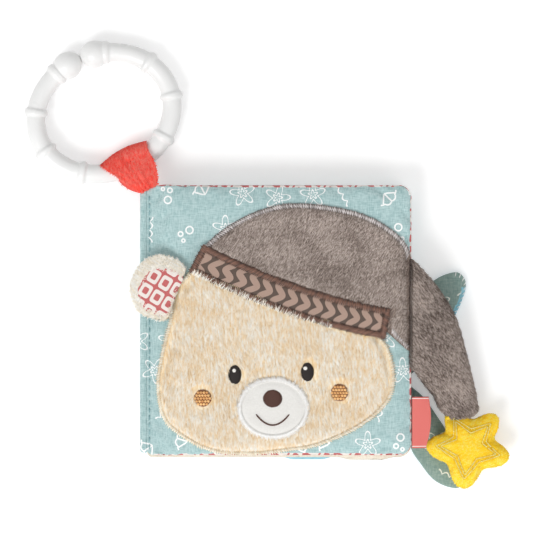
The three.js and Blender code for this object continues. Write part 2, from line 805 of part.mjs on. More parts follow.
const starCut = seamCut(sewnClearance);
const stuffingCut = seamCut(starSeamWidth / 2);
add('star_front', fromSolid(toSolid(padUpper(starPad)).subtract(starCut)), yellowPlush);
add('star_back', fromSolid(toSolid(padLower(starPad)).subtract(starCut)), yellowPlush);
add('star_stuffing', fromSolid(toSolid(padStuffing(starPad)).subtract(stuffingCut)), wadding);

// Folded ribbon tag in the fore edge seam, two layers joined at the fold
const tagTop = new THREE.Vector3(foreEdgeX + sewnClearance, -tagDrop, frontMiddle);
const tagStationShares = [0, 0.5, 1];
const tagFoldShares = [-0.85, -0.4, 0.4, 0.85];

function tagProfile(half) {
  const droop = (share) => -tagDroop * share ** 2;
  const top = tagStationShares.map((share) => [tagReach * share, droop(share) + half]);
  const fold = tagFoldShares.map((share) => (
    [tagReach + half * Math.cos(share * Math.PI / 2), droop(1) - half * share]
  ));
  const bottom = tagStationShares.map((share) => [tagReach * share, droop(share) - half]).reverse();
  return [...top, ...fold, ...bottom];
}

const tagShape = new THREE.Shape([
  ...tagProfile(seamHalf + tagRibbonThickness),
  ...tagProfile(seamHalf).reverse(),
].map(([x, z]) => new THREE.Vector2(tagTop.x + x, tagTop.z + z)));
const tagSolid = new THREE.ExtrudeGeometry(tagShape, { depth: tagWidth, bevelEnabled: false });
tagSolid.rotateX(Math.PI / 2);
const tagPoints = tagSolid.attributes.position;
for (let k = 0; k < tagPoints.count; k += 1) {
  const narrowing = lerp(1, tagLowReach / tagReach, -tagPoints.getY(k) / tagWidth);
  tagPoints.setX(k, tagTop.x + (tagPoints.getX(k) - tagTop.x) * narrowing);
}
tagSolid.translate(0, tagTop.y, 0);
add('woven_tag', tagSolid, tagRibbon);

// Forked tail, two lobes that mirror each other
const tailRootX = foreEdgeX + sewnClearance;
const tailLevel = tailLift + tailThickness / 2;
const lobeShares = [
  [0, -0.02], [0, 0.3], [0, 0.62], [0.2, 0.79], [0.43, 0.93], [0.7, 0.995], [0.87, 1], [0.98, 0.94],
  [1, 0.87], [0.93, 0.74], [0.76, 0.54], [0.5, 0.29], [0.22, 0.07], [0.04, -0.02],
];

const lobeMiddleShares = [0.42, 0.56];
const lobePoints = 22;

function tailLobe(side) {
  const shares = lobeShares.map(([x, y]) => [x, y * side]);
  const ordered = side > 0 ? shares.reverse() : shares;
  const place = new THREE.Vector3(tailRootX, -tailDrop, 0);
  const outline = smoothOutline(ordered, place, tailReach, tailSpan / 2, lobePoints)
    .map((point) => point.setX(Math.max(point.x, tailRootX)));
  const centre = new THREE.Vector3(
    tailRootX + tailReach * lobeMiddleShares[0],
    -tailDrop + tailSpan / 2 * lobeMiddleShares[1] * side,
    0,
  );
  return { outline, centre, thickness: tailThickness, level: tailLevel };
}

const upperLobe = tailLobe(1);
const lowerLobe = tailLobe(-1);
const tailFront = toSolid(padUpper(upperLobe)).add(toSolid(padUpper(lowerLobe)));
const tailBack = toSolid(padLower(upperLobe)).add(toSolid(padLower(lowerLobe)));
add('tail_front_cloth', fromSolid(tailFront), tealCotton);
add('tail_back_cloth', fromSolid(tailBack), blueVelour);
add('tail_upper_padding', padStuffing(upperLobe), wadding);
add('tail_lower_padding', padStuffing(lowerLobe), wadding);

// Open ring with collars and ball ends, an oval tube that lies flat
const ringCentre = new THREE.Vector3(spineX - ringSideways, halfHeight + ringRise, ringLift);
const upward = new THREE.Vector3(0, 0, 1);

function ringPoint(angle, turn = 0) {
  const point = new THREE.Vector3(ringLength / 2 * Math.cos(angle), ringWidth / 2 * Math.sin(angle), 0);
  return point.applyAxisAngle(upward, radians(ringTilt + turn)).add(ringCentre);
}

// Round loop about the tube at an angle of the oval
function ringLoop(angle, radius, sides, turn = 0) {
  const centre = ringPoint(angle, turn);
  const along = new THREE.Vector3(-ringLength * Math.sin(angle), ringWidth * Math.cos(angle), 0).normalize();
  along.applyAxisAngle(upward, radians(ringTilt + turn));
  const outward = new THREE.Vector3(along.y, -along.x, 0);
  return Array.from({ length: radius > 0 ? sides : 1 }, (unused, k) => {
    const place = 2 * Math.PI * k / sides;
    return centre.clone()
      .addScaledVector(outward, radius * Math.cos(place))
      .addScaledVector(upward, -radius * Math.sin(place));
  });
}

const ringSides = 10;
const collarCount = 9;
const heldCollar = 4;
const ringMeanRadius = (ringLength + ringWidth) / 4;

// Stations of the ring, each with its angle and its radius
const ballFarShares = [[-1, 0], [-0.866, 0.5], [-0.5, 0.866], [0, 1]];
const ballNearShares = [[0.42, 0.908]];
const neckShares = [[Math.sqrt(1 - (ringTubeRadius / ballRadius) ** 2), ringTubeRadius / ballRadius]];

function ballStations(place, side) {
  return [...ballFarShares, ...ballNearShares, ...neckShares].map(([along, out]) => (
    [radians(place) + side * along * ballRadius / ringMeanRadius, ballRadius * out]
  ));
}

const collarShares = [[-1, 0], [-0.8, 1], [0.8, 1], [1, 0]];

function collarStations(k) {
  const middle = radians(firstCollar - collarPitch * k);
  return collarShares.map(([along, out]) => (
    [middle + along * collarLength / 2 / ringMeanRadius, lerp(ringTubeRadius, collarRadius, out)]
  ));
}

const betweenShares = [1 / 3, 2 / 3];
const collarOrders = Array.from({ length: collarCount }, (unused, k) => k);
const ringStations = [
  ...ballStations(ballAngles[0], 1),
  ...ballStations(ballAngles[1], -1),
  ...collarOrders.filter((k) => k !== heldCollar).flatMap(collarStations),
  ...collarOrders.slice(1).flatMap((k) => betweenShares.map((share) => (
    [radians(firstCollar - collarPitch * (k - share)), ringTubeRadius]
  ))),
  [radians(firstCollar - collarPitch * heldCollar), ringTubeRadius],
].sort((a, b) => a[0] - b[0]);
const ring = bodyFromLoops(ringStations.map(([angle, radius]) => ringLoop(angle, radius, ringSides)));
add('teething_ring', ring, whitePlastic);

// Plush loop that holds the ring: a wide fold round the tube, gathered to a neck at the end of the spine
const neckPlace = new THREE.Vector3(spineX, halfHeight + loopEdgeGap, spineZ);
const neckSlant = new THREE.Vector3(0.9, 0.42, 0).normalize();
const holdSteps = 6;
const loopWrapShare = 0.62;
const loopFoldShares = [1, 0.77, 0.5, 0.25, 0, -0.25, -0.5, -0.77, -1];
const loopRadius = ringTubeRadius + loopWall;
const loopLoops = [];
for (let k = 0; k <= holdSteps; k += 1) {
  const share = k / holdSteps;
  const centre = ringPoint(radians(lerp(loopAngles[0], loopAngles[1], share)));
  const end = neckPlace.clone().addScaledVector(neckSlant, lerp(-loopNeckWidth, loopNeckWidth, share) / 2);
  const outward = new THREE.Vector3().subVectors(end, centre).setZ(0).normalize();
  const bulge = loopRadius + loopSlack * Math.sin(share * Math.PI);
  const round = loopFoldShares.map((fold) => {
    const turn = Math.PI + fold * loopWrapShare * Math.PI;
    return centre.clone()
      .addScaledVector(outward, bulge * Math.cos(turn))
      .setZ(centre.z + loopRadius * Math.sin(turn));
  });
  const tail = [1, -1].map((side) => end.clone().setZ(end.z + loopNeckThickness / 2 * side));
  loopLoops.push([...round, ...tail]);
}

function middleOf(points) {
  return points.reduce((sum, point) => sum.add(point), new THREE.Vector3()).divideScalar(points.length);
}

const loopBody = toSolid(bodyFromLoops([
  [middleOf(loopLoops[0])],
  ...loopLoops,
  [middleOf(loopLoops[holdSteps])],
]));
const neckSides = 10;
const neckStart = bindingHalf + sewnClearance;
const neckEnd = halfHeight + loopEdgeGap + loopNeckRadius;
const loopNeck = toSolid(bodyFromLoops([
  spineLoop(0, neckStart, neckSides),
  spineLoop(loopNeckRadius, neckStart, neckSides),
  spineLoop(loopNeckRadius, neckEnd, neckSides),
  spineLoop(0, neckEnd, neckSides),
]));

// Room for the ring at one of its turns
const boreSteps = 9;

function ringBore(turn) {
  const bore = Array.from({ length: boreSteps + 1 }, (unused, k) => {
    const angle = radians(lerp(boreAngles[0], boreAngles[1], k / boreSteps));
    return ringLoop(angle, ringTubeRadius + loopClearance, ringSides, turn);
  });
  return toSolid(bodyFromLoops([[middleOf(bore[0])], ...bore, [middleOf(bore[boreSteps])]]));
}

const loopSolid = turnAngles.reduce((solid, turn) => solid.subtract(ringBore(turn)), loopBody.add(loopNeck));
add('ring_loop', fromSolid(loopSolid), coralPlush);

export default book;
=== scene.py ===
import bpy
import numpy as np
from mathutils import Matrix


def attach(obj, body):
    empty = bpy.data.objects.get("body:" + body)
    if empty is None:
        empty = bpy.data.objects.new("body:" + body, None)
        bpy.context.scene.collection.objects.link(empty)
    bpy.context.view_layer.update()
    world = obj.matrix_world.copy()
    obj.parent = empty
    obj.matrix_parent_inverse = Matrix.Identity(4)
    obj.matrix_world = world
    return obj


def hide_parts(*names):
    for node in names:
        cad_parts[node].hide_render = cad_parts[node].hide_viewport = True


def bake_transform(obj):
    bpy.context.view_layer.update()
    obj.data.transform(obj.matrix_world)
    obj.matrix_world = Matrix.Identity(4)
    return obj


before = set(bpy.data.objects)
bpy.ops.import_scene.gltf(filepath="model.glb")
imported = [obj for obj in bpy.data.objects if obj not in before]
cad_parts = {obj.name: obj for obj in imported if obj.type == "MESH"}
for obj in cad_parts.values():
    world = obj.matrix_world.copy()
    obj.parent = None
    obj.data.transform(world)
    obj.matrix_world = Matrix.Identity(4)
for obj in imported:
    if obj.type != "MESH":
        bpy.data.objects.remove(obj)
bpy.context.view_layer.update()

# Camera. It looks straight down on the book from far above, so the lines of sight are nearly upright,
# and its view is 240 mm wide at the level of the cover.
view_width = 0.240
view_centre = (-0.0041, 0.0242)
cover_level = 0.021
camera_rise = 1.6
sensor_width = 36.0
camera_data = bpy.data.cameras.new("camera")
camera_data.sensor_width = sensor_width
camera_data.lens = sensor_width * camera_rise / view_width
camera_data.clip_end = 10
camera = bpy.data.objects.new("camera", camera_data)
camera.location = (*view_centre, cover_level + camera_rise)
bpy.context.scene.collection.objects.link(camera)
bpy.context.scene.camera = camera
bpy.context.scene.view_settings.view_transform = "Standard"


# Studio. A pale floor under the book, a white surround, a broad soft lamp from the upper left and a
# weaker one from the right, at a level where a cloth renders about as its colour is written.
def colour(red, green, blue):
    """Linear colour from the 0 to 255 numbers of a screen colour."""
    screen = np.array([red, green, blue]) / 255
    linear = np.where(screen <= 0.04045, screen / 12.92, ((screen + 0.055) / 1.055) ** 2.4)
    return (*linear.tolist(), 1.0)


def wire(tree, kind, *values, out=0, **settings):
    """Adds one shader node, joins or sets its inputs in order and returns one of its outputs."""
    node = tree.nodes.new("ShaderNode" + kind)
    for key, value in settings.items():
        setattr(node, key, value)
    for socket, value in zip(node.inputs, values):
        if isinstance(value, bpy.types.NodeSocket):
            tree.links.new(value, socket)
        elif value is not None:
            socket.default_value = value
    return node.outputs[out]


def maths(tree, operation, *values):
    return wire(tree, "Math", *values, operation=operation)


def vector_maths(tree, operation, *values, out=0):
    return wire(tree, "VectorMath", *values, operation=operation, out=out)


def mixed(tree, share, first, second):
    """First colour where share is 0, second where it is 1."""
    node = tree.nodes.new("ShaderNodeMix")
    node.data_type = "RGBA"
    for socket, value in zip((node.inputs[0], node.inputs[6], node.inputs[7]), (share, first, second)):
        if isinstance(value, bpy.types.NodeSocket):
            tree.links.new(value, socket)
        else:
            socket.default_value = value
    return node.outputs[2]


def new_material(name, roughness=0.5, sheen=0.0):
    """A material with its tree, its Principled shader and its object coordinates."""
    material = bpy.data.materials.new(name)
    material.use_nodes = True
    tree = material.node_tree
    shader = tree.nodes["Principled BSDF"]
    shader.inputs["Roughness"].default_value = roughness
    shader.inputs["Sheen Weight"].default_value = sheen
    place = tree.nodes.new("ShaderNodeTexCoord").outputs["Object"]
    return material, tree, shader, place


def seen_directly(tree):
    """1 for rays from the camera and for reflections of them, 0 for the light that falls on the book."""
    rays = tree.nodes.new("ShaderNodeLightPath")
    return maths(tree, "MAXIMUM", rays.outputs["Is Camera Ray"], rays.outputs["Is Glossy Ray"])


floor_half = 3.0
floor_depth = 0.0002
floor_lift = 0.3
floor_mesh = bpy.data.meshes.new("floor")
floor_shares = ((-1, -1), (1, -1), (1, 1), (-1, 1))
floor_corners = [(x * floor_half, y * floor_half, -floor_depth) for x, y in floor_shares]
floor_mesh.from_pydata(floor_corners, [], [(0, 1, 2, 3)])
floor = bpy.data.objects.new("floor", floor_mesh)
bpy.context.scene.collection.objects.link(floor)
floor_finish, tree, shader, place = new_material("pale floor", roughness=0.9)
shader.inputs["Base Color"].default_value = colour(243, 243, 243)
shader.inputs["Emission Color"].default_value = (1, 1, 1, 1)
tree.links.new(maths(tree, "MULTIPLY", seen_directly(tree), floor_lift), shader.inputs["Emission Strength"])
floor_mesh.materials.append(floor_finish)

surround_level = 0.62
world = bpy.data.worlds.new("surround")
bpy.context.scene.world = world
world.use_nodes = True
tree = world.node_tree
level = maths(tree, "MULTIPLY_ADD", seen_directly(tree), 1 - surround_level, surround_level)
tree.links.new(level, tree.nodes["Background"].inputs["Strength"])
tree.nodes["Background"].inputs["Color"].default_value = (1, 1, 1, 1)

for lamp_name, strength, softness, turn in (
    ("main lamp", 1.5, 0.5, (0.58, -0.5, 0)),
    ("side lamp", 0.45, 0.8, (0.75, 0.85, 0)),
):
    lamp_data = bpy.data.lights.new(lamp_name, "SUN")
    lamp_data.energy = strength
    lamp_data.angle = softness
    lamp = bpy.data.objects.new(lamp_name, lamp_data)
    lamp.rotation_euler = turn
    bpy.context.scene.collection.objects.link(lamp)

# Leaves of the book. Each is two cloths sewn together round their free edges over soft wadding, so it
# is thick in the middle, thin at the seam and flat at the spine, with puckers along the seams.
mm = 0.001
spine_x = -59.35
spine_level = 13.025
fore_edge = 61.25
half_height = 60.85
corner_radius = 6.0
leaf_start = 1.2
spine_corner = 2.5
leaf_reach = fore_edge - spine_x
cover_thickness = 5.2
page_thickness = 4.8
leaf_gap = 0.35
page_drop = 1.2
rim_width = 13.0
rim_half = 0.85
channel_half = 0.5
channel_step = 1.35
spine_taper = 11.8
front_swell = 0.6
edge_round = 0.8
pucker_depth = 0.5
seam_reach = 2.3
air_swell = 0.45
back_middle = cover_thickness / 2
page_2_middle = cover_thickness + leaf_gap + page_thickness / 2
page_1_middle = page_2_middle + page_thickness + leaf_gap
front_middle = page_1_middle + page_thickness / 2 + leaf_gap + cover_thickness / 2


def smooth(share):
    held = np.clip(share, 0, 1)
    return held * held * (3 - 2 * held)


def quarter_round(share):
    """Rises from 0 to 1 as a quarter of a circle does."""
    return np.sqrt(1 - (1 - np.clip(share, 0, 1)) ** 2)


def ripple(x, y, wavelength, seed, count=7):
    """Sum of cosine waves of about one wavelength that run in all directions, between -1 and 1."""
    random = np.random.default_rng(seed)
    total = 0
    for turn, phase, stretch in zip(
        random.uniform(0, np.pi, count), random.uniform(0, 2 * np.pi, count), random.uniform(0.7, 1.5, count)
    ):
        along = x * np.cos(turn) + y * np.sin(turn)
        total = total + np.cos(2 * np.pi * along / (wavelength * stretch) + phase)
    return total / count ** 0.5 / 1.6


def seam_puckers(distance, along, seed):
    """Dents that start at a seam and fade inwards: waves along the seam times a hump across it."""
    hump = np.exp(-((distance - 3.5) / 3.6) ** 2)
    return hump * (0.5 + 0.5 * ripple(along, 0 * along, 7.0, seed))


def quads_of(index):
    """Quads between the neighbouring numbers of a grid of point numbers, or of a stack of grids."""
    corners = [index[..., :-1, :-1], index[..., :-1, 1:], index[..., 1:, 1:], index[..., 1:, :-1]]
    return np.stack(corners, -1).reshape(-1, 4)


def facing_out(points, faces):
    """Turns all faces over if the volume they enclose, a sum of tetrahedra, comes out negative."""
    volume = 0
    for block in faces:
        for k in range(1, block.shape[1] - 1):
            a, b, c = points[block[:, 0]], points[block[:, k]], points[block[:, k + 1]]
            volume += (a * np.cross(b, c)).sum()
    return points, faces if volume > 0 else [block[:, ::-1] for block in faces]


def closed_sheets(top, bottom):
    """Points and quads of a closed form between two grids of points that share their border."""
    rows, columns = top.shape[:2]
    upper = np.arange(rows * columns).reshape(rows, columns)
    inner = np.zeros((rows, columns), bool)
    inner[1:-1, 1:-1] = True
    lower = upper.copy()
    lower[inner] = rows * columns + np.arange(inner.sum())
    points = np.concatenate([top.reshape(-1, 3), bottom[inner]])
    return facing_out(points, [quads_of(upper), quads_of(lower)[:, ::-1]])


def piece(name, points, faces, materials, uv=None, face_materials=None):
    """An object at the origin, from points in millimetres and lists of faces, with its materials. The
    table holds up what would lie lower than its top."""
    mesh = bpy.data.meshes.new(name)
    rows = [face for block in faces for face in block.tolist()]
    places = points.reshape(-1, 3) * mm
    places[:, 2] = np.maximum(places[:, 2], 0)
    mesh.from_pydata(places.tolist(), [], rows)
    if uv is not None:
        corners = np.zeros(len(mesh.loops), np.int32)
        mesh.loops.foreach_get("vertex_index", corners)
        layer = mesh.uv_layers.new(name="UVMap")
        layer.data.foreach_set("uv", uv.reshape(-1, 2)[corners].astype(np.float32).ravel())
    for material in materials:
        mesh.materials.append(material)
    if face_materials is not None:
        mesh.polygons.foreach_set("material_index", face_materials.astype(np.int32))
    mesh.shade_smooth()
    made = bpy.data.objects.new(name, mesh)
    bpy.context.scene.collection.objects.link(made)
    return made


def corner_inset(y, radius):
    """How far a rounded corner draws the edge in at a height on the leaf."""
    past = np.maximum(0, np.abs(y) - (half_height - radius))
    return radius - np.sqrt(np.maximum(radius ** 2 - past ** 2, 0))


def edge_lines(length, step):
    """Distances across a leaf, close together at its two edges and about one step apart between."""
    rim = np.array([0, 0.15, 0.45, 0.9, 1.5, 2.3])
    middle = np.linspace(rim[-1], length - rim[-1], int((length - 2 * rim[-1]) / step))
    return np.concatenate([rim[:-1], middle, length - rim[:-1][::-1]])


leaf_step = 1.25
reach_shares = edge_lines(leaf_reach - leaf_start, leaf_step) / (leaf_reach - leaf_start)
crossings = edge_lines(2 * half_height, leaf_step) - half_height


def leaf_surface(thickness, middle, order, swell, drop, seed, shown=(0, 0)):
    """Upper and lower grids of a leaf. Its half thickness rises as a quarter round over the rim from
    the seam, its middle level slopes to its place in the spine, and dents follow the seams. Between
    the two places shown, a page stands further out at the bottom."""
    start = leaf_start + corner_inset(crossings, spine_corner)[:, None]
    end = leaf_reach - corner_inset(crossings, corner_radius)[:, None]
    reach = start + (end - start) * reach_shares
    y = np.broadcast_to(crossings[:, None], reach.shape)
    past_x = reach - (leaf_reach - corner_radius)
    past_y = np.abs(y) - (half_height - corner_radius)
    corner = np.hypot(np.maximum(past_x, 0), np.maximum(past_y, 0))
    free_edge = corner_radius - corner - np.minimum(np.maximum(past_x, past_y), 0)
    spine_share = smooth((reach - leaf_start) / spine_taper)
    body = rim_half + (thickness / 2 - air_swell - rim_half) * quarter_round(free_edge / rim_width)
    half = channel_half + (body - channel_half) * spine_share
    border = np.minimum(free_edge, reach - start)
    half = half * quarter_round(border / edge_round)
    channel = spine_level + channel_step * (order - 1.5)
    centre = channel + (middle - channel) * spine_share
    across = 1 - (2 * reach / leaf_reach - 1) ** 2
    bulge = swell * across * (1 - (y / half_height) ** 2) * spine_share
    along = np.where(past_x > past_y, y, reach)
    dents = pucker_depth * spine_share * seam_puckers(free_edge, along, seed)
    spine_dents = 0.3 * seam_puckers(reach - start, y, seed + 1)
    top = centre + half + bulge - (dents + spine_dents) * (border > 0)
    bottom = centre - half + 0.5 * (dents + spine_dents) * (border > 0)
    groove = 0.35 * np.exp(-((reach - seam_reach) / 0.5) ** 2)
    x = spine_x + reach
    peek = smooth((x - shown[0]) / 6) * smooth((shown[1] - x) / 6) * smooth(-y / half_height)
    y = y - drop - 1.2 * peek
    return np.stack([x, y, top - groove], -1), np.stack([x, y, bottom + groove], -1)


def noise(tree, place, scale, detail=2.0, roughness=0.5):
    """Soft noise in space, between 0 and 1."""
    return wire(tree, "TexNoise", place, None, scale, detail, roughness, noise_dimensions="3D")


def raise_up(tree, shader, height, strength, depth):
    """Lets a height shade the surface as if it stood out of it by a depth in metres."""
    bump = wire(tree, "Bump", strength, depth)
    tree.links.new(height, bump.node.inputs["Height"])
    tree.links.new(bump, shader.inputs["Normal"])


def group(name, inputs, outputs):
    """An empty shader node group with its named sockets, and its two end nodes."""
    tree = bpy.data.node_groups.new(name, "ShaderNodeTree")
    for socket, kind in inputs:
        tree.interface.new_socket(socket, in_out="INPUT", socket_type="NodeSocket" + kind)
    for socket, kind in outputs:
        tree.interface.new_socket(socket, in_out="OUTPUT", socket_type="NodeSocket" + kind)
    return tree, tree.nodes.new("NodeGroupInput"), tree.nodes.new("NodeGroupOutput")


def placed(tree, shared, **values):
    """A shared group placed in a material, with its inputs joined or set."""
    node = tree.nodes.new("ShaderNodeGroup")
    node.node_tree = shared
    for key, value in values.items():
        socket = node.inputs[key]
        if isinstance(value, bpy.types.NodeSocket):
            tree.links.new(value, socket)
        else:
            socket.default_value = value
    return node


def woven_group():
    """Plain weave: warp and weft threads as half waves, each over the other on alternate crossings."""
    tree, entry, result = group("plain weave", [("Place", "Vector"), ("Threads", "Float")],
                                [("Shade", "Float"), ("Height", "Float")])
    scaled = vector_maths(tree, "SCALE", entry.outputs["Place"])
    tree.links.new(entry.outputs["Threads"], scaled.node.inputs["Scale"])
    split = wire(tree, "SeparateXYZ", scaled).node
    ridges = [
        maths(tree, "ABSOLUTE", maths(tree, "SINE", maths(tree, "MULTIPLY", split.outputs[k], np.pi)))
        for k in (0, 1)
    ]
    over = wire(tree, "TexChecker", scaled, (0, 0, 0, 1), (1, 1, 1, 1), 1.0, out=1)
    height = wire(tree, "Mix", over, None, ridges[0], ridges[1], data_type="FLOAT")
    slubs = [
        noise(tree, vector_maths(tree, "MULTIPLY", scaled, stretch), 1.0)
        for stretch in ((0.16, 1.1, 0.5), (1.1, 0.16, 0.5))
    ]
    uneven = maths(tree, "ADD", slubs[0], slubs[1])
    # Painted shade: the threads darken where they dip under each other, and the slubs vary their tone at
    # random.
    shade = maths(tree, "MULTIPLY_ADD", uneven, 1.8, maths(tree, "MULTIPLY_ADD", height, 0.5, -1.55))
    tree.links.new(shade, result.inputs["Shade"])
    tree.links.new(height, result.inputs["Height"])
    return tree


plain_weave = woven_group()


def cloth_finish(name, tone, shadow, threads=2200.0, print_mask=None, print_tone=None):
    """Cotton: a plain weave whose threads shade from one tone to a darker one, at random along them and
    as a painted shade where they dip under each other, with a print on it.
    """
    material, tree, shader, place = new_material(name, roughness=0.85, sheen=0.15)
    weave = placed(tree, plain_weave, Place=place, Threads=threads)
    base = mixed(tree, weave.outputs["Shade"], shadow, tone)
    if print_mask is not None:
        base = mixed(tree, print_mask(tree, place), base, print_tone)
    tree.links.new(base, shader.inputs["Base Color"])
    raise_up(tree, shader, weave.outputs["Height"], 0.35, 0.00012)
    return material


def motif_group():
    """Hand-drawn sea motifs, one in each cell of a staggered grid: a starfish, a fan shell, bubbles
    or a row of wavelets, turned and shifted at random. The mask is 1 on the drawn line."""
    tree, entry, result = group("sea print", [("Place", "Vector"), ("Cell", "Float"), ("Line", "Float")],
                                [("Mask", "Float")])
    unit = maths(tree, "DIVIDE", 1.0, entry.outputs["Cell"])
    scaled = vector_maths(tree, "SCALE", entry.outputs["Place"])
    tree.links.new(unit, scaled.node.inputs["Scale"])
    split = wire(tree, "SeparateXYZ", scaled).node
    row = maths(tree, "FLOOR", split.outputs[1])
    stagger = maths(tree, "MULTIPLY", maths(tree, "MODULO", row, 2.0), 0.5)
    column_place = maths(tree, "ADD", split.outputs[0], stagger)
    column = maths(tree, "FLOOR", column_place)
    cell = wire(tree, "CombineXYZ", column, row, 0.0)
    chance = wire(tree, "TexWhiteNoise", cell, noise_dimensions="3D", out=1)
    dice = wire(tree, "SeparateXYZ", chance).node
    pick = wire(tree, "TexWhiteNoise", cell, noise_dimensions="3D", out=0)
    x = maths(tree, "SUBTRACT", maths(tree, "SUBTRACT", column_place, column), 0.5)
    y = maths(tree, "SUBTRACT", maths(tree, "SUBTRACT", split.outputs[1], row), 0.5)
    x = maths(tree, "MULTIPLY_ADD", maths(tree, "SUBTRACT", dice.outputs[0], 0.5), 0.2, x)
    y = maths(tree, "MULTIPLY_ADD", maths(tree, "SUBTRACT", dice.outputs[1], 0.5), 0.2, y)
    turned = wire(tree, "VectorRotate", wire(tree, "CombineXYZ", x, y, 0.0), (0, 0, 0), (0, 0, 1),
                  maths(tree, "MULTIPLY", dice.outputs[2], 2 * np.pi))
    inside = wire(tree, "SeparateXYZ", turned).node
    x, y = inside.outputs[0], inside.outputs[1]
    radius = vector_maths(tree, "LENGTH", turned, out=1)
    angle = maths(tree, "ARCTAN2", x, y)
    line = maths(tree, "DIVIDE", entry.outputs["Line"], entry.outputs["Cell"])

    def near(value, target):
        return maths(tree, "LESS_THAN", maths(tree, "ABSOLUTE", maths(tree, "SUBTRACT", value, target)), line)

    def either(first, second):
        return maths(tree, "MAXIMUM", first, second)

    def both(first, second):
        return maths(tree, "MULTIPLY", first, second)

    def below(value, limit):
        return maths(tree, "LESS_THAN", value, limit)

    arms = maths(tree, "COSINE", maths(tree, "MULTIPLY", angle, 5.0))
    starfish = either(
        near(radius, maths(tree, "MULTIPLY_ADD", arms, 0.11, 0.25)),
        near(radius, maths(tree, "MULTIPLY_ADD", arms, 0.04, 0.09)),
    )
    scallops = maths(tree, "ABSOLUTE", maths(tree, "SINE", maths(tree, "MULTIPLY", angle, 4.5)))
    rim = near(radius, maths(tree, "MULTIPLY_ADD", scallops, 0.04, 0.31))
    spacing = 0.42
    ribs = maths(tree, "MULTIPLY", maths(tree, "PINGPONG", angle, spacing), radius)
    inner_ribs = both(below(ribs, line), below(radius, 0.31))
    fan = both(below(maths(tree, "ABSOLUTE", angle), 1.05), either(rim, inner_ribs))

    def bubble(across, up, size):
        shifted = vector_maths(tree, "SUBTRACT", turned, (across, up, 0))
        return near(vector_maths(tree, "LENGTH", shifted, out=1), size)

    bubbles = either(either(bubble(-0.1, -0.12, 0.1), bubble(0.13, 0.03, 0.065)), bubble(0.02, 0.2, 0.045))
    crests = maths(tree, "ABSOLUTE", maths(tree, "SINE", maths(tree, "MULTIPLY", x, 14.0)))
    wavelets = both(near(y, maths(tree, "MULTIPLY", crests, 0.09)), below(maths(tree, "ABSOLUTE", x), 0.36))

    def chosen(low, high):
        return both(maths(tree, "GREATER_THAN", pick, low), below(pick, high))

    mask = both(starfish, chosen(-1.0, 0.27))
    for drawing, low, high in ((fan, 0.27, 0.55), (bubbles, 0.55, 0.75), (wavelets, 0.75, 2.0)):
        mask = either(mask, both(drawing, chosen(low, high)))
    tree.links.new(mask, result.inputs["Mask"])
    return tree


sea_print = motif_group()
motif_cell = 0.0160
motif_line = 0.00036


def sea_mask(tree, place):
    return placed(tree, sea_print, Place=place, Cell=motif_cell, Line=motif_line).outputs["Mask"]


def lattice_group():
    """Rounded white frames round a small square, on a rose ground, in a turned square grid."""
    tree, entry, result = group("lattice print", [("Place", "Vector"), ("Cell", "Vector")],
                                [("Mask", "Float")])
    turned = wire(tree, "VectorRotate", entry.outputs["Place"], (0, 0, 0), (0, 0, 1), 0.54)
    scaled = vector_maths(tree, "DIVIDE", turned, entry.outputs["Cell"])
    split = wire(tree, "SeparateXYZ", vector_maths(tree, "FRACTION", scaled)).node
    x, y = (maths(tree, "ABSOLUTE", maths(tree, "SUBTRACT", split.outputs[k], 0.5)) for k in (0, 1))
    fourth = maths(tree, "ADD", maths(tree, "POWER", x, 5.0), maths(tree, "POWER", y, 5.0))
    size = maths(tree, "POWER", fourth, 0.2)
    within, beyond = maths(tree, "LESS_THAN", size, 0.43), maths(tree, "GREATER_THAN", size, 0.21)
    tree.links.new(maths(tree, "MULTIPLY", within, beyond), result.inputs["Mask"])
    return tree


lattice_print = lattice_group()
lattice_cell = (0.0060, 0.0074, 1)


def lattice_mask(tree, place):
    return placed(tree, lattice_print, Place=place, Cell=lattice_cell).outputs["Mask"]


teal_cotton = cloth_finish("teal printed cotton", colour(192, 216, 216), colour(144, 180, 181),
                           print_mask=sea_mask, print_tone=colour(250, 252, 251))
lattice_cotton = cloth_finish("rose lattice cotton", colour(206, 112, 110), colour(186, 88, 90),
                              print_mask=lattice_mask, print_tone=colour(240, 230, 224))
cream_cotton = cloth_finish("cream cotton", colour(240, 232, 216), colour(222, 212, 194))
blue_velour = cloth_finish("light blue velour", colour(160, 212, 226), colour(134, 196, 212), threads=1500.0)


def filled(points, faces, sewn, pressure, slack, most):
    """Fills a closed cloth form with air by cloth simulation, with its sewn points held, its cloth cut
    larger by the slack and no point moved further than the most. Millimetres become centimetres for
    it, the size of a cushion that the solver is made for."""
    enlarged = 0.01
    mesh = bpy.data.meshes.new("form to fill")
    rows = [face for block in faces for face in block.tolist()]
    mesh.from_pydata((points * enlarged).tolist(), [], rows)
    form = bpy.data.objects.new("form to fill", mesh)
    bpy.context.scene.collection.objects.link(form)
    form.vertex_groups.new(name="sewn").add(np.flatnonzero(sewn).tolist(), 1.0, "REPLACE")
    cloth = form.modifiers.new("cloth", "CLOTH")
    cloth.settings.quality = 5
    cloth.settings.tension_stiffness = 15
    cloth.settings.compression_stiffness = 15
    cloth.settings.bending_stiffness = 0.4
    cloth.settings.use_pressure = True
    cloth.settings.uniform_pressure_force = pressure
    cloth.settings.shrink_min = -slack
    cloth.settings.vertex_group_mass = "sewn"
    cloth.settings.effector_weights.gravity = 0
    cloth.collision_settings.use_collision = False
    for step in range(1, 21):
        bpy.context.scene.frame_set(step)
    result = form.evaluated_get(bpy.context.evaluated_depsgraph_get()).data
    moved = np.zeros(len(result.vertices) * 3)
    result.vertices.foreach_get("co", moved)
    bpy.context.scene.frame_set(1)
    bpy.data.objects.remove(form)
    bpy.data.meshes.remove(mesh)
    shift = moved.reshape(-1, 3) / enlarged - points
    length = np.linalg.norm(shift, axis=1, keepdims=True)
    return points + shift * np.minimum(1, most / np.maximum(length, 1e-9))


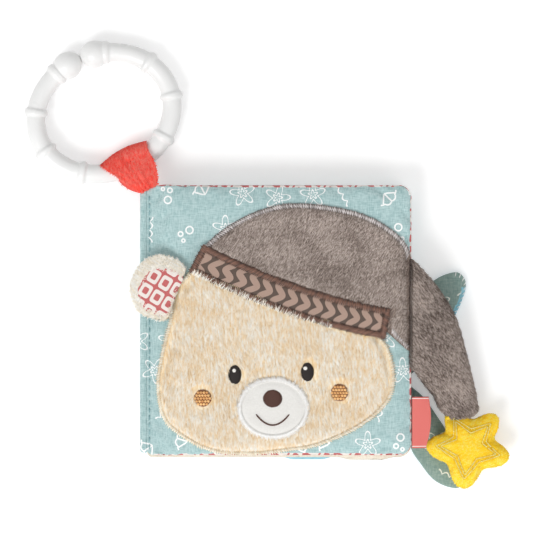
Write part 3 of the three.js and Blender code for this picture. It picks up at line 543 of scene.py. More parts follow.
leaf_pressure = 2.0
leaf_slack = 0.03
leaf_most = 0.8
held_columns = 7
strip_columns = 4


def leaf(name, body, shape, upper, lower, replaced, outer=0):
    """A leaf as one padded piece: the seam's roll at the rim takes the lower cloth, and the strip
    beside the spine the outer one of the two. Its points come back for what is sewn on it."""
    top, bottom = shape
    points, faces = closed_sheets(top, bottom)
    border = np.ones(top.shape[:2], bool)
    border[1:-1, held_columns:-1] = False
    sewn = np.concatenate([border.ravel(), border[1:-1, 1:-1].ravel()])
    points = filled(points, faces, sewn, leaf_pressure, leaf_slack, leaf_most)
    rows, columns = top.shape[:2]
    ring = np.ones((rows - 1, columns - 1), np.int32)
    under = ring.copy()
    ring[2:-2, :-2] = 0
    ring[:, :strip_columns] = outer
    under[:, :strip_columns] = outer
    kinds = np.concatenate([ring.ravel(), under.ravel()])
    made = piece(name, points, faces, [upper, lower], face_materials=kinds)
    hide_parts(*replaced)
    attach(made, body)
    return points[:top.size // 3].reshape(top.shape)


leaf("back_cover_pad", "back_cover", leaf_surface(cover_thickness, back_middle, 0, 0, 0, 3),
     lattice_cotton, teal_cotton, ["back_cover_cloth", "back_cover_padding", "back_cover_lining"],
     outer=1)
leaf("page_2_pad", "page_2", leaf_surface(page_thickness, page_2_middle, 1, 0, page_drop, 5, (2, 27)),
     blue_velour, blue_velour, ["page_2_back_cloth", "page_2_padding", "page_2_front_cloth"])
leaf("page_1_pad", "page_1", leaf_surface(page_thickness, page_1_middle, 2, 0, page_drop, 8, (28, 54)),
     cream_cotton, cream_cotton, ["page_1_back_cloth", "page_1_padding", "page_1_front_cloth"])
front_shape = leaf_surface(cover_thickness, front_middle, 3, front_swell, 0, 12)
front_top = leaf("front_cover_pad", "front_cover", front_shape, teal_cotton, lattice_cotton,
                 ["front_cover_cloth", "front_cover_padding", "front_cover_lining", "crinkle_foil"])


# Spine binding. A strip of the printed cotton rolled round the seam allowances of the four leaves,
# with small puckers along its length and turned-in ends.
binding_radius = 1.9
binding_half = half_height - 0.6
binding_sides = 28


def tube(centres, first, second, radii, sides):
    """Rows of points round a path: centre + radius times (cosine along first, sine along second)."""
    turn = 2 * np.pi * np.arange(sides) / sides
    circle = np.cos(turn)[None, :, None] * first[:, None] + np.sin(turn)[None, :, None] * second[:, None]
    return centres[:, None] + radii[..., None] * circle


def closed_tube(rows):
    """Points and faces of a tube whose two ends close on a point in their middle."""
    count, sides = rows.shape[:2]
    index = np.arange(count * sides).reshape(count, sides)
    wrapped = np.concatenate([index, index[:, :1]], 1)
    ends = np.stack([rows[0].mean(0), rows[-1].mean(0)])
    points = np.concatenate([rows.reshape(-1, 3), ends])
    first = np.stack([wrapped[0, 1:], wrapped[0, :-1], np.full(sides, count * sides)], -1)
    last = np.stack([wrapped[-1, :-1], wrapped[-1, 1:], np.full(sides, count * sides + 1)], -1)
    return facing_out(points, [quads_of(wrapped), first, last])


steps = np.linspace(-1, 1, 140)
binding_path = np.stack([0 * steps + spine_x, steps * binding_half, 0 * steps + spine_level], -1)
turn = 2 * np.pi * np.arange(binding_sides) / binding_sides
end_round = quarter_round((1 - np.abs(steps)) * binding_half / binding_radius)
puckers = 0.1 * ripple(binding_path[:, 1, None], turn[None, :] * 2.0, 5.0, 21)
squarish = (np.abs(np.cos(turn)) ** 2.6 + np.abs(np.sin(turn)) ** 2.6) ** (-1 / 2.6)
binding_radii = (binding_radius + 0.05 + puckers) * squarish * (0.25 + 0.75 * end_round[:, None])
across = np.tile([1.0, 0, 0], (len(steps), 1))
upward = np.tile([0, 0, -1.0], (len(steps), 1))
binding_rows = tube(binding_path, across, upward, binding_radii, binding_sides)
binding = piece("spine_strip", *closed_tube(binding_rows), [teal_cotton])
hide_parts("spine_binding")
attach(binding, "back_cover")


# Running stitches. One row of teal thread that holds the front cover to its binding, sunk in the cloth
# a little way from the rolled spine.
running_pitch = 3.3
running_length = 2.3


def on_cover(x, y):
    """Level of the front cover's cloth at any place on it, which all that is sewn on it follows: it
    blends the levels of the four nearest points of the cover's grid."""
    start = leaf_start + corner_inset(y, spine_corner)
    end = leaf_reach - corner_inset(y, corner_radius)
    share = (x - spine_x - start) / (end - start)
    column = np.interp(share, reach_shares, np.arange(len(reach_shares)))
    row = np.interp(y, crossings, np.arange(len(crossings)))
    left = np.minimum(column.astype(int), len(reach_shares) - 2)
    low = np.minimum(row.astype(int), len(crossings) - 2)
    u, v = column - left, row - low
    levels = front_top[..., 2]
    near_low = levels[low, left] * (1 - u) + levels[low, left + 1] * u
    near_high = levels[low + 1, left] * (1 - u) + levels[low + 1, left + 1] * u
    return near_low * (1 - v) + near_high * v


def bar_faces(count, rings, sides):
    """Faces of bars that lie one after another in the list of points: their sides, and their two ends."""
    index = np.arange(count * rings * sides).reshape(count, rings, sides)
    wrapped = np.concatenate([index, index[..., :1]], -1)
    return [quads_of(wrapped), np.concatenate([index[:, 0, ::-1], index[:, -1]])]


def thread_bars(name, start, stop, carrier, radius, rise, finish):
    """Straight stitches from start to stop, each a thin four-sided bar that bows up in its middle. Its
    map holds a random shade and the way along it."""
    t = np.array([0, 0.25, 0.5, 0.75, 1.0])
    along = start[:, None] + (stop - start)[:, None] * t[:, None]
    heading = (stop - start) / np.linalg.norm(stop - start, axis=1)[:, None]
    aside = np.stack([-heading[:, 1], heading[:, 0]], -1)
    level = carrier(along[..., 0], along[..., 1]) + radius * (0.2 + rise * np.sin(np.pi * t))
    size = radius * np.array([0.5, 0.9, 1.0, 0.9, 0.5])
    rows = []
    for turn in np.arange(4) * np.pi / 2 + np.pi / 4:
        plan = along + aside[:, None] * (size * np.cos(turn))[:, None]
        rows.append(np.concatenate([plan, (level + size * np.sin(turn))[..., None]], -1))
    grid = np.stack(rows, 2)
    count, rings, sides = grid.shape[:3]
    shade = np.random.default_rng(count).random(count)
    uv = np.stack([np.repeat(shade, rings * sides), np.tile(np.repeat(t, sides), count)], -1)
    return piece(name, grid, bar_faces(count, rings, sides), [finish], uv=uv)


def own_map(tree):
    """The two numbers of a piece's own map."""
    return wire(tree, "SeparateXYZ", tree.nodes.new("ShaderNodeUVMap").outputs[0]).node.outputs[:2]


def thread_finish(name, tone, shadow, roughness=0.45, sheen=0.2):
    """Embroidery thread: a soft gloss, a painted highlight along the middle of each stitch and painted
    shade at its ends, and no two quite alike.
    """
    material, tree, shader, place = new_material(name, roughness, sheen)
    chance, way = own_map(tree)
    streaks = noise(tree, place, 2600.0)
    # Painted highlight in the middle of each stitch, painted shade at its two ends.
    middle = maths(tree, "SINE", maths(tree, "MULTIPLY", way, np.pi))
    share = maths(tree, "ADD", maths(tree, "MULTIPLY", middle, 0.35), maths(tree, "MULTIPLY", chance, 0.9))
    share = maths(tree, "MULTIPLY_ADD", streaks, 0.2, maths(tree, "SUBTRACT", share, 0.15))
    tree.links.new(mixed(tree, share, shadow, tone), shader.inputs["Base Color"])
    raise_up(tree, shader, streaks, 0.4, 0.0001)
    return material


teal_thread = thread_finish("teal thread", colour(150, 190, 194), colour(104, 148, 154))
running_y = np.arange(-half_height + 2.5, half_height - 4.5, running_pitch)
running_start = np.stack([0 * running_y + spine_x + seam_reach, running_y], -1)
running_stop = running_start + (0.1, running_length)
running = thread_bars("spine_running_stitches", running_start, running_stop, on_cover, 0.3, 0.9, teal_thread)
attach(running, "front_cover")


# Bear head. A piece of cream plush laid on the cover and sewn down round its edge with a close
# zigzag, so that it is pressed flat at the rim and stands up in soft pile inside it.
def spline(given, steps=40):
    """Centripetal Catmull-Rom curve between the second and the last but one of the given points."""
    before, here, after, beyond = given[:-3], given[1:-2], given[2:-1], given[3:]
    spans = [np.linalg.norm(b - a, axis=1, keepdims=True) ** 0.5
             for a, b in ((before, here), (here, after), (after, beyond))]
    early, own, late = spans
    chord = (after - here) / own
    leave = own * ((here - before) / early - (after - before) / (early + own) + chord)
    arrive = own * (chord - (beyond - here) / (own + late) + (beyond - after) / late)
    t = np.linspace(0, 1, steps, endpoint=False)[:, None, None]
    curve = ((2 * t ** 3 - 3 * t ** 2 + 1) * here + (t ** 3 - 2 * t ** 2 + t) * leave
             + (3 * t ** 2 - 2 * t ** 3) * after + (t ** 3 - t ** 2) * arrive)
    return curve.transpose(1, 0, 2).reshape(-1, given.shape[1])


def smooth_outline(shares, centre, half_x, half_y, count):
    """Closed curve through the given points, at equal steps along it."""
    given = np.array(shares) * (half_x, half_y) + centre
    return even_steps(spline(np.concatenate([given[-1:], given, given[:2]])), count)


def even_steps(curve, count):
    """Points at equal steps along a closed curve."""
    closed = np.concatenate([curve, curve[:1]])
    length = np.concatenate([[0], np.cumsum(np.linalg.norm(np.diff(closed, axis=0), axis=1))])
    places = np.linspace(0, length[-1], count, endpoint=False)
    return np.stack([np.interp(places, length, closed[:, k]) for k in range(closed.shape[1])], -1)


def closed_disc(top, bottom):
    """Points and faces of a closed form over an outline. Rows run from the rim, which both share, to
    near the middle, where each side closes on a point."""
    rows, sides = top.shape[:2]
    upper = np.arange(rows * sides).reshape(rows, sides)
    lower = upper + (rows - 1) * sides
    lower[0] = upper[0]
    last = (2 * rows - 1) * sides
    points = np.concatenate([
        top.reshape(-1, 3), bottom[1:].reshape(-1, 3), [top[-1].mean(0), bottom[-1].mean(0)],
    ])
    faces = []
    for index, pole, order in ((upper, last, 1), (lower, last + 1, -1)):
        wrapped = np.concatenate([index, index[:, :1]], 1)
        fan = np.stack([wrapped[-1, :-1], wrapped[-1, 1:], np.full(sides, pole)], -1)
        faces += [quads_of(wrapped)[:, ::order], fan[:, ::order]]
    return facing_out(points, faces)


disc_shares = np.array([1, 0.997, 0.99, 0.98, 0.965, 0.945, 0.92, 0.89, 0.855, 0.81, 0.76, 0.7, 0.63, 0.55,
                        0.46, 0.36, 0.25, 0.14, 0.04])


def applique(outline, middle, carrier, profile, lift=0.05):
    """Points of a patch over an outline, seen from above counterclockwise. Its level is that of what
    carries it plus a profile of the distance from the edge."""
    spokes = outline - middle
    plan = middle + disc_shares[:, None, None] * spokes
    inward = (1 - disc_shares[:, None]) * np.linalg.norm(spokes, axis=1)
    carried = carrier(plan[..., 0], plan[..., 1]) + lift
    top = np.concatenate([plan, (carried + profile(inward, plan))[..., None]], -1)
    bottom = np.concatenate([plan, carried[..., None]], -1)
    return closed_disc(top, bottom)


def pile_group():
    """Pile seen from a little way off: wavy strokes along the nap, from noise that is stretched along
    it, and a broad noise for the lie of the nap. Its shade is painted light and shade on the pile."""
    tree, entry, result = group("pile", [("Place", "Vector"), ("Fineness", "Float"), ("Nap", "Float")],
                                [("Shade", "Float"), ("Height", "Float")])
    turned = wire(tree, "VectorRotate", entry.outputs["Place"], (0, 0, 0), (0, 0, 1), invert=True)
    tree.links.new(entry.outputs["Nap"], turned.node.inputs["Angle"])
    drawn_out = vector_maths(tree, "MULTIPLY", turned, (0.27, 1.0, 0.7))
    strokes = noise(tree, drawn_out, entry.outputs["Fineness"], roughness=0.55)
    broad = noise(tree, entry.outputs["Place"], 75.0)
    # Painted light and shade: lighter and darker strokes and patches along the nap.
    shade = maths(tree, "MULTIPLY_ADD", broad, 0.3, maths(tree, "MULTIPLY", strokes, 0.7))
    tree.links.new(wire(tree, "MapRange", shade, 0.38, 0.62, 0.0, 1.0), result.inputs["Shade"])
    tree.links.new(strokes, result.inputs["Height"])
    return tree


pile_texture = pile_group()


def plush_finish(name, deep, tone, tip, fineness=1000.0, nap=1.0, sheen=0.1):
    """Plush. Ground and tufts shade in strokes from deep, a painted shade within the pile, to tone. A tuft
    also reads its own map: dark at its root, in painted shade, and towards its end the tone or, in the
    bright strokes, the tip colour, a painted highlight."""
    made = []
    for kind in ("ground", "tufts"):
        material, tree, shader, place = new_material(f"{name} {kind}", 0.9, sheen)
        pile = placed(tree, pile_texture, Place=place, Fineness=fineness, Nap=nap)
        share = pile.outputs["Shade"]
        base = mixed(tree, share, deep, tone)
        if kind == "tufts":
            chance, way = own_map(tree)
            # Bright strokes end in the tip colour, a painted highlight; roots keep the darker base, painted
            # shade.
            bright = maths(tree, "MULTIPLY_ADD", share, 0.8, -0.15)
            bright = maths(tree, "MULTIPLY_ADD", chance, 0.35, bright)
            end_tone = mixed(tree, bright, mixed(tree, 0.45, deep, tone), tip)
            base = mixed(tree, wire(tree, "MapRange", way, 0.05, 0.6, 0.0, 1.0), base, end_tone)
        else:
            raise_up(tree, shader, pile.outputs["Height"], 0.6, 0.0004)
        tree.links.new(base, shader.inputs["Base Color"])
        made.append(material)
    return made


def locks(root, nap, width, length, seed):
    """The shift of each tuft towards the middle line of its lock, and the lock's random share of painted
    highlight. Locks are the cells of a brick pattern along the nap, bent by waves. Prime numbers scatter
    them over the lists of random shades."""
    random = np.random.default_rng(seed)
    along = root[:, 0] * np.cos(nap) + root[:, 1] * np.sin(nap)
    across = root[:, 1] * np.cos(nap) - root[:, 0] * np.sin(nap)
    bent = across + 0.9 * width * ripple(root[:, 0], root[:, 1], 5 * width, seed)
    column = np.floor(bent / width).astype(int)
    row = np.floor(along / length + random.random(997)[column % 997] * 5
                   + 0.4 * ripple(root[:, 0], root[:, 1], 3 * length, seed + 1)).astype(int)
    shade = random.random(4099)[(column * 613 + row * 1301) % 4099]
    shift = (column + 0.5) * width - bent
    return shift[:, None] * np.array([-np.sin(nap), np.cos(nap), 0]), shade


def tufts(name, carrier, count, length, width, lean, nap, seed, finish, keep=None, stray=0.16, clump=4.0,
          trim=None, lock=(1.2, 2.6), painted_shade=None):
    """Pile on a piece. Each tuft is a narrow blade of three steps: it starts on the surface, leans over
    by an angle towards the nap's direction and bends further at its tip. Waves a clump wide steer the
    tufts, and the tips of neighbours meet in locks that share their brightness."""
    random = np.random.default_rng(seed)
    mesh = carrier.data
    mesh.calc_loop_triangles()
    points = np.zeros(len(mesh.vertices) * 3)
    mesh.vertices.foreach_get("co", points)
    corners = np.zeros(len(mesh.loop_triangles) * 3, np.int32)
    mesh.loop_triangles.foreach_get("vertices", corners)
    a, b, c = points.reshape(-1, 3)[corners.reshape(-1, 3).T] / mm
    normal = np.cross(b - a, c - a)
    area = np.linalg.norm(normal, axis=1)
    middle = (a + b + c) / 3
    weight = area * (keep(middle, normal / np.maximum(area, 1e-9)[:, None]) if keep else 1.0)
    picked = random.choice(len(area), count, p=weight / weight.sum())
    u, v = np.sqrt(random.random(count)), random.random(count)
    root = a[picked] * (1 - u)[:, None] + b[picked] * (u * (1 - v))[:, None] + c[picked] * (u * v)[:, None]
    up = normal[picked] / area[picked][:, None]
    x, y = root[:, 0], root[:, 1]
    lie = 0.35 * ripple(x, y, 30.0, seed) + 0.25 * ripple(x, y, clump, seed + 1)
    swirl = nap + lie + random.normal(0, stray, count)
    aim = np.stack([np.cos(swirl), np.sin(swirl), 0 * swirl], -1)
    aside = aim - up * (aim * up).sum(1)[:, None]
    aside /= np.maximum(np.linalg.norm(aside, axis=1), 1e-6)[:, None]
    tilt = (lean + random.normal(0, 0.15, count))[:, None]
    rise = up * np.cos(tilt) + aside * np.sin(tilt)
    droop = up * np.cos(tilt + 0.35) + aside * np.sin(tilt + 0.35)
    size = (length * random.uniform(0.6, 1.15, count))[:, None]
    if trim is not None:
        size *= trim(x, y)[:, None]
    across = np.cross(rise, up)
    across *= width / 2 / np.maximum(np.linalg.norm(across, axis=1), 1e-6)[:, None]
    drawn_in, lock_shade = locks(root, nap, *lock, seed + 3)
    root = root - up * 0.1
    bend = root + rise * size * 0.55 + 0.35 * drawn_in
    tip = bend + droop * size * 0.45 + 0.5 * drawn_in
    rows = np.stack([root + across, root - across, bend - across * 0.8, bend + across * 0.8, tip], 1)
    first = 5 * np.arange(count)[:, None]
    quads = first + np.array([0, 1, 2, 3])
    points_end = first + np.array([3, 2, 4])
    # Each tuft's shade, its share of painted highlight, comes from its lock and a random part.
    shade = 0.15 + 0.7 * lock_shade + random.uniform(-0.35, 0.35, count)
    # A painted shade lowers the tufts' shade where the caller asks, such as beside the star's stitched lines.
    if painted_shade is not None:
        shade -= painted_shade(root[:, 0], root[:, 1])
    uv = np.stack([np.repeat(np.clip(shade, 0, 1), 5), np.tile([0, 0, 0.55, 0.55, 1.0], count)], -1)
    return piece(name, rows, [quads, points_end], [finish], uv=uv)


def zigzag(name, outline, carrier, low, high, count, radius, finish, fray=0.0, keep=None):
    """Close zigzag along a closed line: threads that run to and fro between two distances inside it.
    Fray shifts their outer ends at random."""
    ends = np.roll(outline, -1, 0) - np.roll(outline, 1, 0)
    side = np.stack([-ends[:, 1], ends[:, 0]], -1) / np.linalg.norm(ends, axis=1)[:, None]
    inner, outer = even_steps(outline + side * high, count), even_steps(outline + side * low, count)
    inward = inner - outer
    inward /= np.linalg.norm(inward, axis=1)[:, None]
    outer = outer - inward * (fray * np.random.default_rng(count).random(count))[:, None]
    start = np.concatenate([outer, inner])
    stop = np.concatenate([inner, np.roll(outer, -1, 0)])
    if keep is not None:
        kept = keep((start + stop) / 2)
        start, stop = start[kept], stop[kept]
    return thread_bars(name, start, stop, carrier, radius, 1.4, finish)


cap_width = 96.0
cap_height = 67.0
cap_centre = np.array([fore_edge - 0.3 - cap_width / 2, half_height - 8.25 - cap_height / 2])
ribbon_width = 13.6
ribbon_shares = np.array([[-1.016, 0.269], [-0.091, -0.412], [0.78, -0.621]])
ribbon_points = cap_centre + ribbon_shares * (cap_width / 2, cap_height / 2)


def ribbon_place(share):
    """Point and sideways direction of the ribbon's middle line, a bend through three points."""
    t = share[..., None]
    first, second, third = ribbon_points
    point = (1 - t) ** 2 * first + 2 * t * (1 - t) * second + t ** 2 * third
    along = 2 * (1 - t) * (second - first) + 2 * t * (third - second)
    along /= np.linalg.norm(along, axis=-1, keepdims=True)
    return point, np.stack([-along[..., 1], along[..., 0]], -1)


band_steps = np.linspace(0, 1, 160)
band_line, band_side = ribbon_place(band_steps)
head_width = 107.2
head_height = 83.2
head_centre = np.array([0, -19.0])
head_middle = np.array([0, -22.0])
plush_thickness = 1.9
pressed_thickness = 0.7
stitch_width = 1.6
head_shares = [
    [-0.732, 0.963], [-0.84, 0.802], [-0.895, 0.441], [-0.971, 0.042], [-1, -0.282], [-0.941, -0.619],
    [-0.751, -0.835], [-0.529, -0.965], [-0.229, -1], [0.102, -0.958], [0.335, -0.907], [0.74, -0.667],
    [0.956, -0.398], [1, -0.162], [0.951, 0.144], [0.884, 0.276], [0.821, 0.421], [0.183, 0.649],
    [-0.616, 1.094], [-0.69, 1.046],
]
head_outline = smooth_outline(head_shares, head_centre, head_width / 2, head_height / 2, 300)
cream_plush, cream_tufts = plush_finish("cream plush", colour(236, 204, 154), colour(254, 241, 215),
                                        colour(255, 254, 249), fineness=950.0, nap=-1.5)


def plush_profile(inward, plan):
    """Low at the sewn rim, then rising over a few millimetres to the full thickness of the pile."""
    rim = pressed_thickness * quarter_round(inward / 0.6)
    waves = 0.12 * ripple(plan[..., 0], plan[..., 1], 9.0, 31)
    return rim + (plush_thickness - pressed_thickness + waves) * smooth((inward - 1.5) / 3.5)


def reach_inside(outline, middle):
    """Distance from a place to the outline, along the spoke from the middle through that place."""
    spokes = outline - middle
    turns = np.unwrap(np.arctan2(spokes[:, 1], spokes[:, 0]))
    reaches = np.tile(np.linalg.norm(spokes, axis=1), 3)
    turns = np.concatenate([turns - 2 * np.pi, turns, turns + 2 * np.pi])

    def inward(x, y):
        away_x, away_y = x - middle[0], y - middle[1]
        return np.maximum(np.interp(np.arctan2(away_y, away_x), turns, reaches) - np.hypot(away_x, away_y), 0)

    return inward


def level_on(carrier, outline, middle, profile):
    """The top of a patch as a function of place."""
    inward = reach_inside(outline, middle)

    def level(x, y):
        return carrier(x, y) + 0.05 + profile(inward(x, y), np.stack([x, y], -1))

    return level


head = piece("bear_head_plush", *applique(head_outline, head_middle, on_cover, plush_profile), [cream_plush])
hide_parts("bear_head")
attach(head, "front_cover")
on_head = level_on(on_cover, head_outline, head_middle, plush_profile)
inside_head = reach_inside(head_outline, head_middle)


def pile_share(inward):
    """Fewer tufts over the stitched rim than inside it."""
    return 0.05 + 0.95 * smooth((inward - 1.7) / 1.2)


def on_face(x, y):
    """Place by shares of the head's half width and half height."""
    return head_centre + np.array([x, y]) * (head_width / 2, head_height / 2)


left_eye_place = on_face(-0.342, -0.131)
right_eye_place = on_face(0.266, -0.102)
left_cheek_place = on_face(-0.611, -0.383)
right_cheek_place = on_face(0.536, -0.323)
muzzle_centre = on_face(-0.021, -0.492)


def bare_face(at):
    """0 where embroidery or felt holds the pile down, 1 elsewhere. Tufts lie downwards, so the bare
    places reach higher than what is sewn there."""
    free = np.ones(len(at))
    for place, half_x, half_y in (
        (left_eye_place, 3.0, 4.3), (right_eye_place, 3.0, 4.3), (left_cheek_place, 4.2, 4.2),
        (right_cheek_place, 4.2, 4.2), (muzzle_centre, 15.0, 13.0),
    ):
        away = (at[:, :2] - place - (0, 1.7)) / (half_x + 0.5, half_y + 1.9)
        free *= (away ** 2).sum(1) > 1
    return free


def beside_band(at):
    """0 under the cap's band, 1 elsewhere, from the nearest point of the band's middle line."""
    nearest = ((at[:, None, :2] - band_line[None]) ** 2).sum(-1).argmin(1)
    away = at[:, :2] - band_line[nearest]
    across = np.abs((away * band_side[nearest]).sum(1))
    beyond = np.linalg.norm(away, axis=1) > across + 0.8
    return ((across > ribbon_width / 2 - 0.1) | beyond) * 1.0


def rim_trim(inward):
    """Tufts grow short at the sewn rim and long inside it."""
    return 0.3 + 0.7 * smooth((inward - 1.5) / 3.0)


def piled_head(at, up):
    return (up[:, 2] > 0.1) * pile_share(inside_head(at[:, 0], at[:, 1])) * bare_face(at) * beside_band(at)


head_pile = tufts("bear_head_pile", head, 36000, 3.0, 0.42, 1.34, -1.5, 41, cream_tufts, lock=(1.5, 3.0),
                  keep=piled_head, trim=lambda x, y: rim_trim(inside_head(x, y)))
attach(head_pile, "front_cover")
cream_thread = thread_finish("cream thread", colour(255, 249, 233), colour(216, 192, 152))
head_stitch = zigzag("bear_head_stitches", head_outline, on_head, -0.3, stitch_width, 300, 0.25,
                     cream_thread, 0.7)
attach(head_stitch, "front_cover")

# Muzzle. A flat oval of white felt laid on the head, whose pile it presses down, and sewn down round
# its edge with a white zigzag that reaches over on to the plush.
muzzle_width = 30.6
muzzle_height = 26.2
muzzle_thickness = 0.75


def oval(centre, width, height, count):
    turn = 2 * np.pi * np.arange(count) / count
    return centre + np.stack([width / 2 * np.cos(turn), height / 2 * np.sin(turn)], -1)


def felt_profile(inward, plan):
    return muzzle_thickness * (0.5 * quarter_round(inward / 0.5) + 0.5 * smooth((inward - 1.4) / 2.0))


def mat_level(x, y):
    """Level of the plush under the muzzle, where its pile is pressed down."""
    return on_head(x, y) + 0.35


white_felt, tree, shader, place = new_material("white felt", 0.95, 0.2)
hairs = noise(tree, place, 1500.0, 5.0, 0.7)
tree.links.new(mixed(tree, hairs, colour(214, 211, 206), colour(246, 245, 241)), shader.inputs["Base Color"])
raise_up(tree, shader, hairs, 0.5, 0.0002)
muzzle_outline = oval(muzzle_centre, muzzle_width, muzzle_height, 140)
muzzle = piece("muzzle_felt", *applique(muzzle_outline, muzzle_centre, mat_level, felt_profile), [white_felt])
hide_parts("muzzle")
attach(muzzle, "front_cover")
on_muzzle = level_on(mat_level, muzzle_outline, muzzle_centre, felt_profile)
white_thread = thread_finish("white thread", colour(255, 254, 252), colour(244, 241, 236))
muzzle_stitch = zigzag("muzzle_stitches", muzzle_outline, on_muzzle, -0.9, 1.4, 160, 0.2, white_thread, 0.9)
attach(muzzle_stitch, "front_cover")


# Embroidered features. Nose, eyes and cheeks are raised ovals of satin stitch: rows of thread side
# by side across the oval, on a low padding. The mouth is one bowed line of the same dark thread.
def satin_oval(name, centre, width, height, carrier, rows, lean, radius, crown, finish, node, gap=0.0):
    """Threads side by side across an oval. Each is a thin bar that bows over a low padding."""
    offsets = np.linspace(-1, 1, rows + 2)[1:-1]
    half = np.sqrt(1 - offsets ** 2)
    along = np.array([np.cos(lean), np.sin(lean)])
    aside = np.array([-np.sin(lean), np.cos(lean)])
    t = np.linspace(-1, 1, 9)
    unit = offsets[:, None, None] * aside + (half[:, None] * t)[..., None] * along
    plan = centre + unit * (width / 2, height / 2)
    lump = np.sqrt(np.maximum(0, 1 - (unit ** 2).sum(-1)))
    level = carrier(plan[..., 0], plan[..., 1]) + crown * lump + gap
    size = radius * (0.35 + 0.65 * np.sqrt(1 - t ** 2))
    around = []
    for turn in np.arange(6) * np.pi / 3:
        shifted = plan + aside * (size * np.cos(turn))[:, None]
        around.append(np.concatenate([shifted, (level + size * np.sin(turn))[..., None]], -1))
    made = piece(name, np.stack(around, 2), bar_faces(rows, len(t), 6), [finish])
    if node:
        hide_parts(node)
    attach(made, "front_cover")


def pressed_face(x, y):
    """Level of the head where embroidery holds the pile down."""
    return on_head(x, y) + 0.15


dark_thread = thread_finish("dark brown thread", colour(140, 93, 72), colour(78, 47, 36), 0.7, sheen=0)
eye_thread = thread_finish("black brown thread", colour(60, 38, 32), colour(24, 14, 11), 0.7, sheen=0)
cheek_thread = thread_finish("orange brown thread", colour(246, 196, 130), colour(196, 130, 66))
# A darker orange thread that shows between the cheek knots: painted shade in the gaps.
cheek_painted_shade = thread_finish("orange thread in painted shade", colour(176, 108, 50), colour(136, 78, 34))
nose_place = on_face(-0.025, -0.388)
satin_oval("nose_stitches", nose_place, 8.8, 7.9, on_muzzle, 26, 0.2, 0.24, 0.5, dark_thread, "nose")
for side_name, eye_place, eye_height, glint_shift, glint_width, glint_gap in (
    ("left", left_eye_place, 8.6, (-0.3, 1.9), 1.7, 0.72),
    ("right", right_eye_place, 8.4, (-0.9, 1.7), 1.9, 0.68),
):
    satin_oval(f"{side_name}_eye_stitches", eye_place, 6.0, eye_height, pressed_face, 26, 0.15, 0.24, 0.7,
               eye_thread, f"{side_name}_eye")
    satin_oval(f"{side_name}_eye_glint", eye_place + glint_shift, glint_width, 1.6, pressed_face, 7, 0.15,
               0.2, 0.3, white_thread, None, gap=glint_gap)


def knots(name, centre, radius, pitch, carrier, finish, node):
    """Small round knots in rows inside a circle, each a half ball of three rings of eight points."""
    steps = np.arange(-radius, radius + pitch, pitch)
    x, y = np.meshgrid(steps, steps)
    x = x + (np.arange(len(steps)) % 2)[:, None] * pitch / 2
    inside = np.hypot(x, y) < radius - pitch * 0.3
    places = np.stack([x[inside], y[inside]], -1) + centre
    tilt = np.radians([0, 32, 62, 82])[:, None]
    round_turn = (np.arange(8) * np.pi / 4)[None, :]
    ball = np.stack([np.cos(tilt) * np.cos(round_turn), np.cos(tilt) * np.sin(round_turn),
                     np.sin(tilt) + 0 * round_turn], -1) * pitch * 0.55
    level = carrier(places[:, 0], places[:, 1]) + 0.25
    middles = np.concatenate([places, level[:, None]], -1)
    grid = middles[:, None, None] + ball[None]
    count, rings, sides = grid.shape[:3]
    shade = np.random.default_rng(7).random(count)
    # The way lightens the top of each knot, a painted highlight, and leaves its base in painted shade.
    way = np.repeat([0, 0.25, 0.4, 0.5], sides)
    uv = np.stack([np.repeat(shade, rings * sides), np.tile(way, count)], -1)
    made = piece(name, grid, bar_faces(count, rings, sides), [finish], uv=uv)
    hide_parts(node)
    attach(made, "front_cover")


# Under the knots of each cheek lies a darker satin ground, painted shade in the gaps between the knots.
for side_name, cheek_place in (("left", left_cheek_place), ("right", right_cheek_place)):
    satin_oval(f"{side_name}_cheek_painted_shade", cheek_place, 7.9, 7.9, pressed_face, 17, 0.9, 0.3, 0.1,
               cheek_painted_shade, None)
    knots(f"{side_name}_cheek_knots", cheek_place, 4.0, 1.3, pressed_face, cheek_thread, f"{side_name}_cheek")

mouth_place = on_face(-0.025, -0.557)
mouth_width = 15.0
mouth_depth = 4.9
bow = np.linspace(-1, 1, 60)
mouth_plan = mouth_place + np.stack([mouth_width / 2 * bow, -mouth_depth * (1 - bow ** 2)], -1)
mouth_level = on_muzzle(mouth_plan[:, 0], mouth_plan[:, 1]) + 0.12
mouth_path = np.concatenate([mouth_plan, mouth_level[:, None]], -1)
heading = np.gradient(mouth_plan, axis=0)
heading /= np.linalg.norm(heading, axis=1)[:, None]
beside = np.stack([-heading[:, 1], heading[:, 0], 0 * bow], -1)
upright = np.tile([0, 0, 1.0], (len(bow), 1))
mouth_sides = 10
twist = 0.05 * np.cos(np.arange(len(bow)) * 2.1)[:, None] + np.zeros((1, mouth_sides))
mouth_radii = (0.36 + twist) * (0.4 + 0.6 * quarter_round((1 - np.abs(bow)) * 8))[:, None]
mouth_rows = tube(mouth_path, beside, upright, mouth_radii, mouth_sides)
mouth = piece("mouth_line", *closed_tube(mouth_rows), [dark_thread])
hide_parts("mouth_stitch")
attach(mouth, "front_cover")

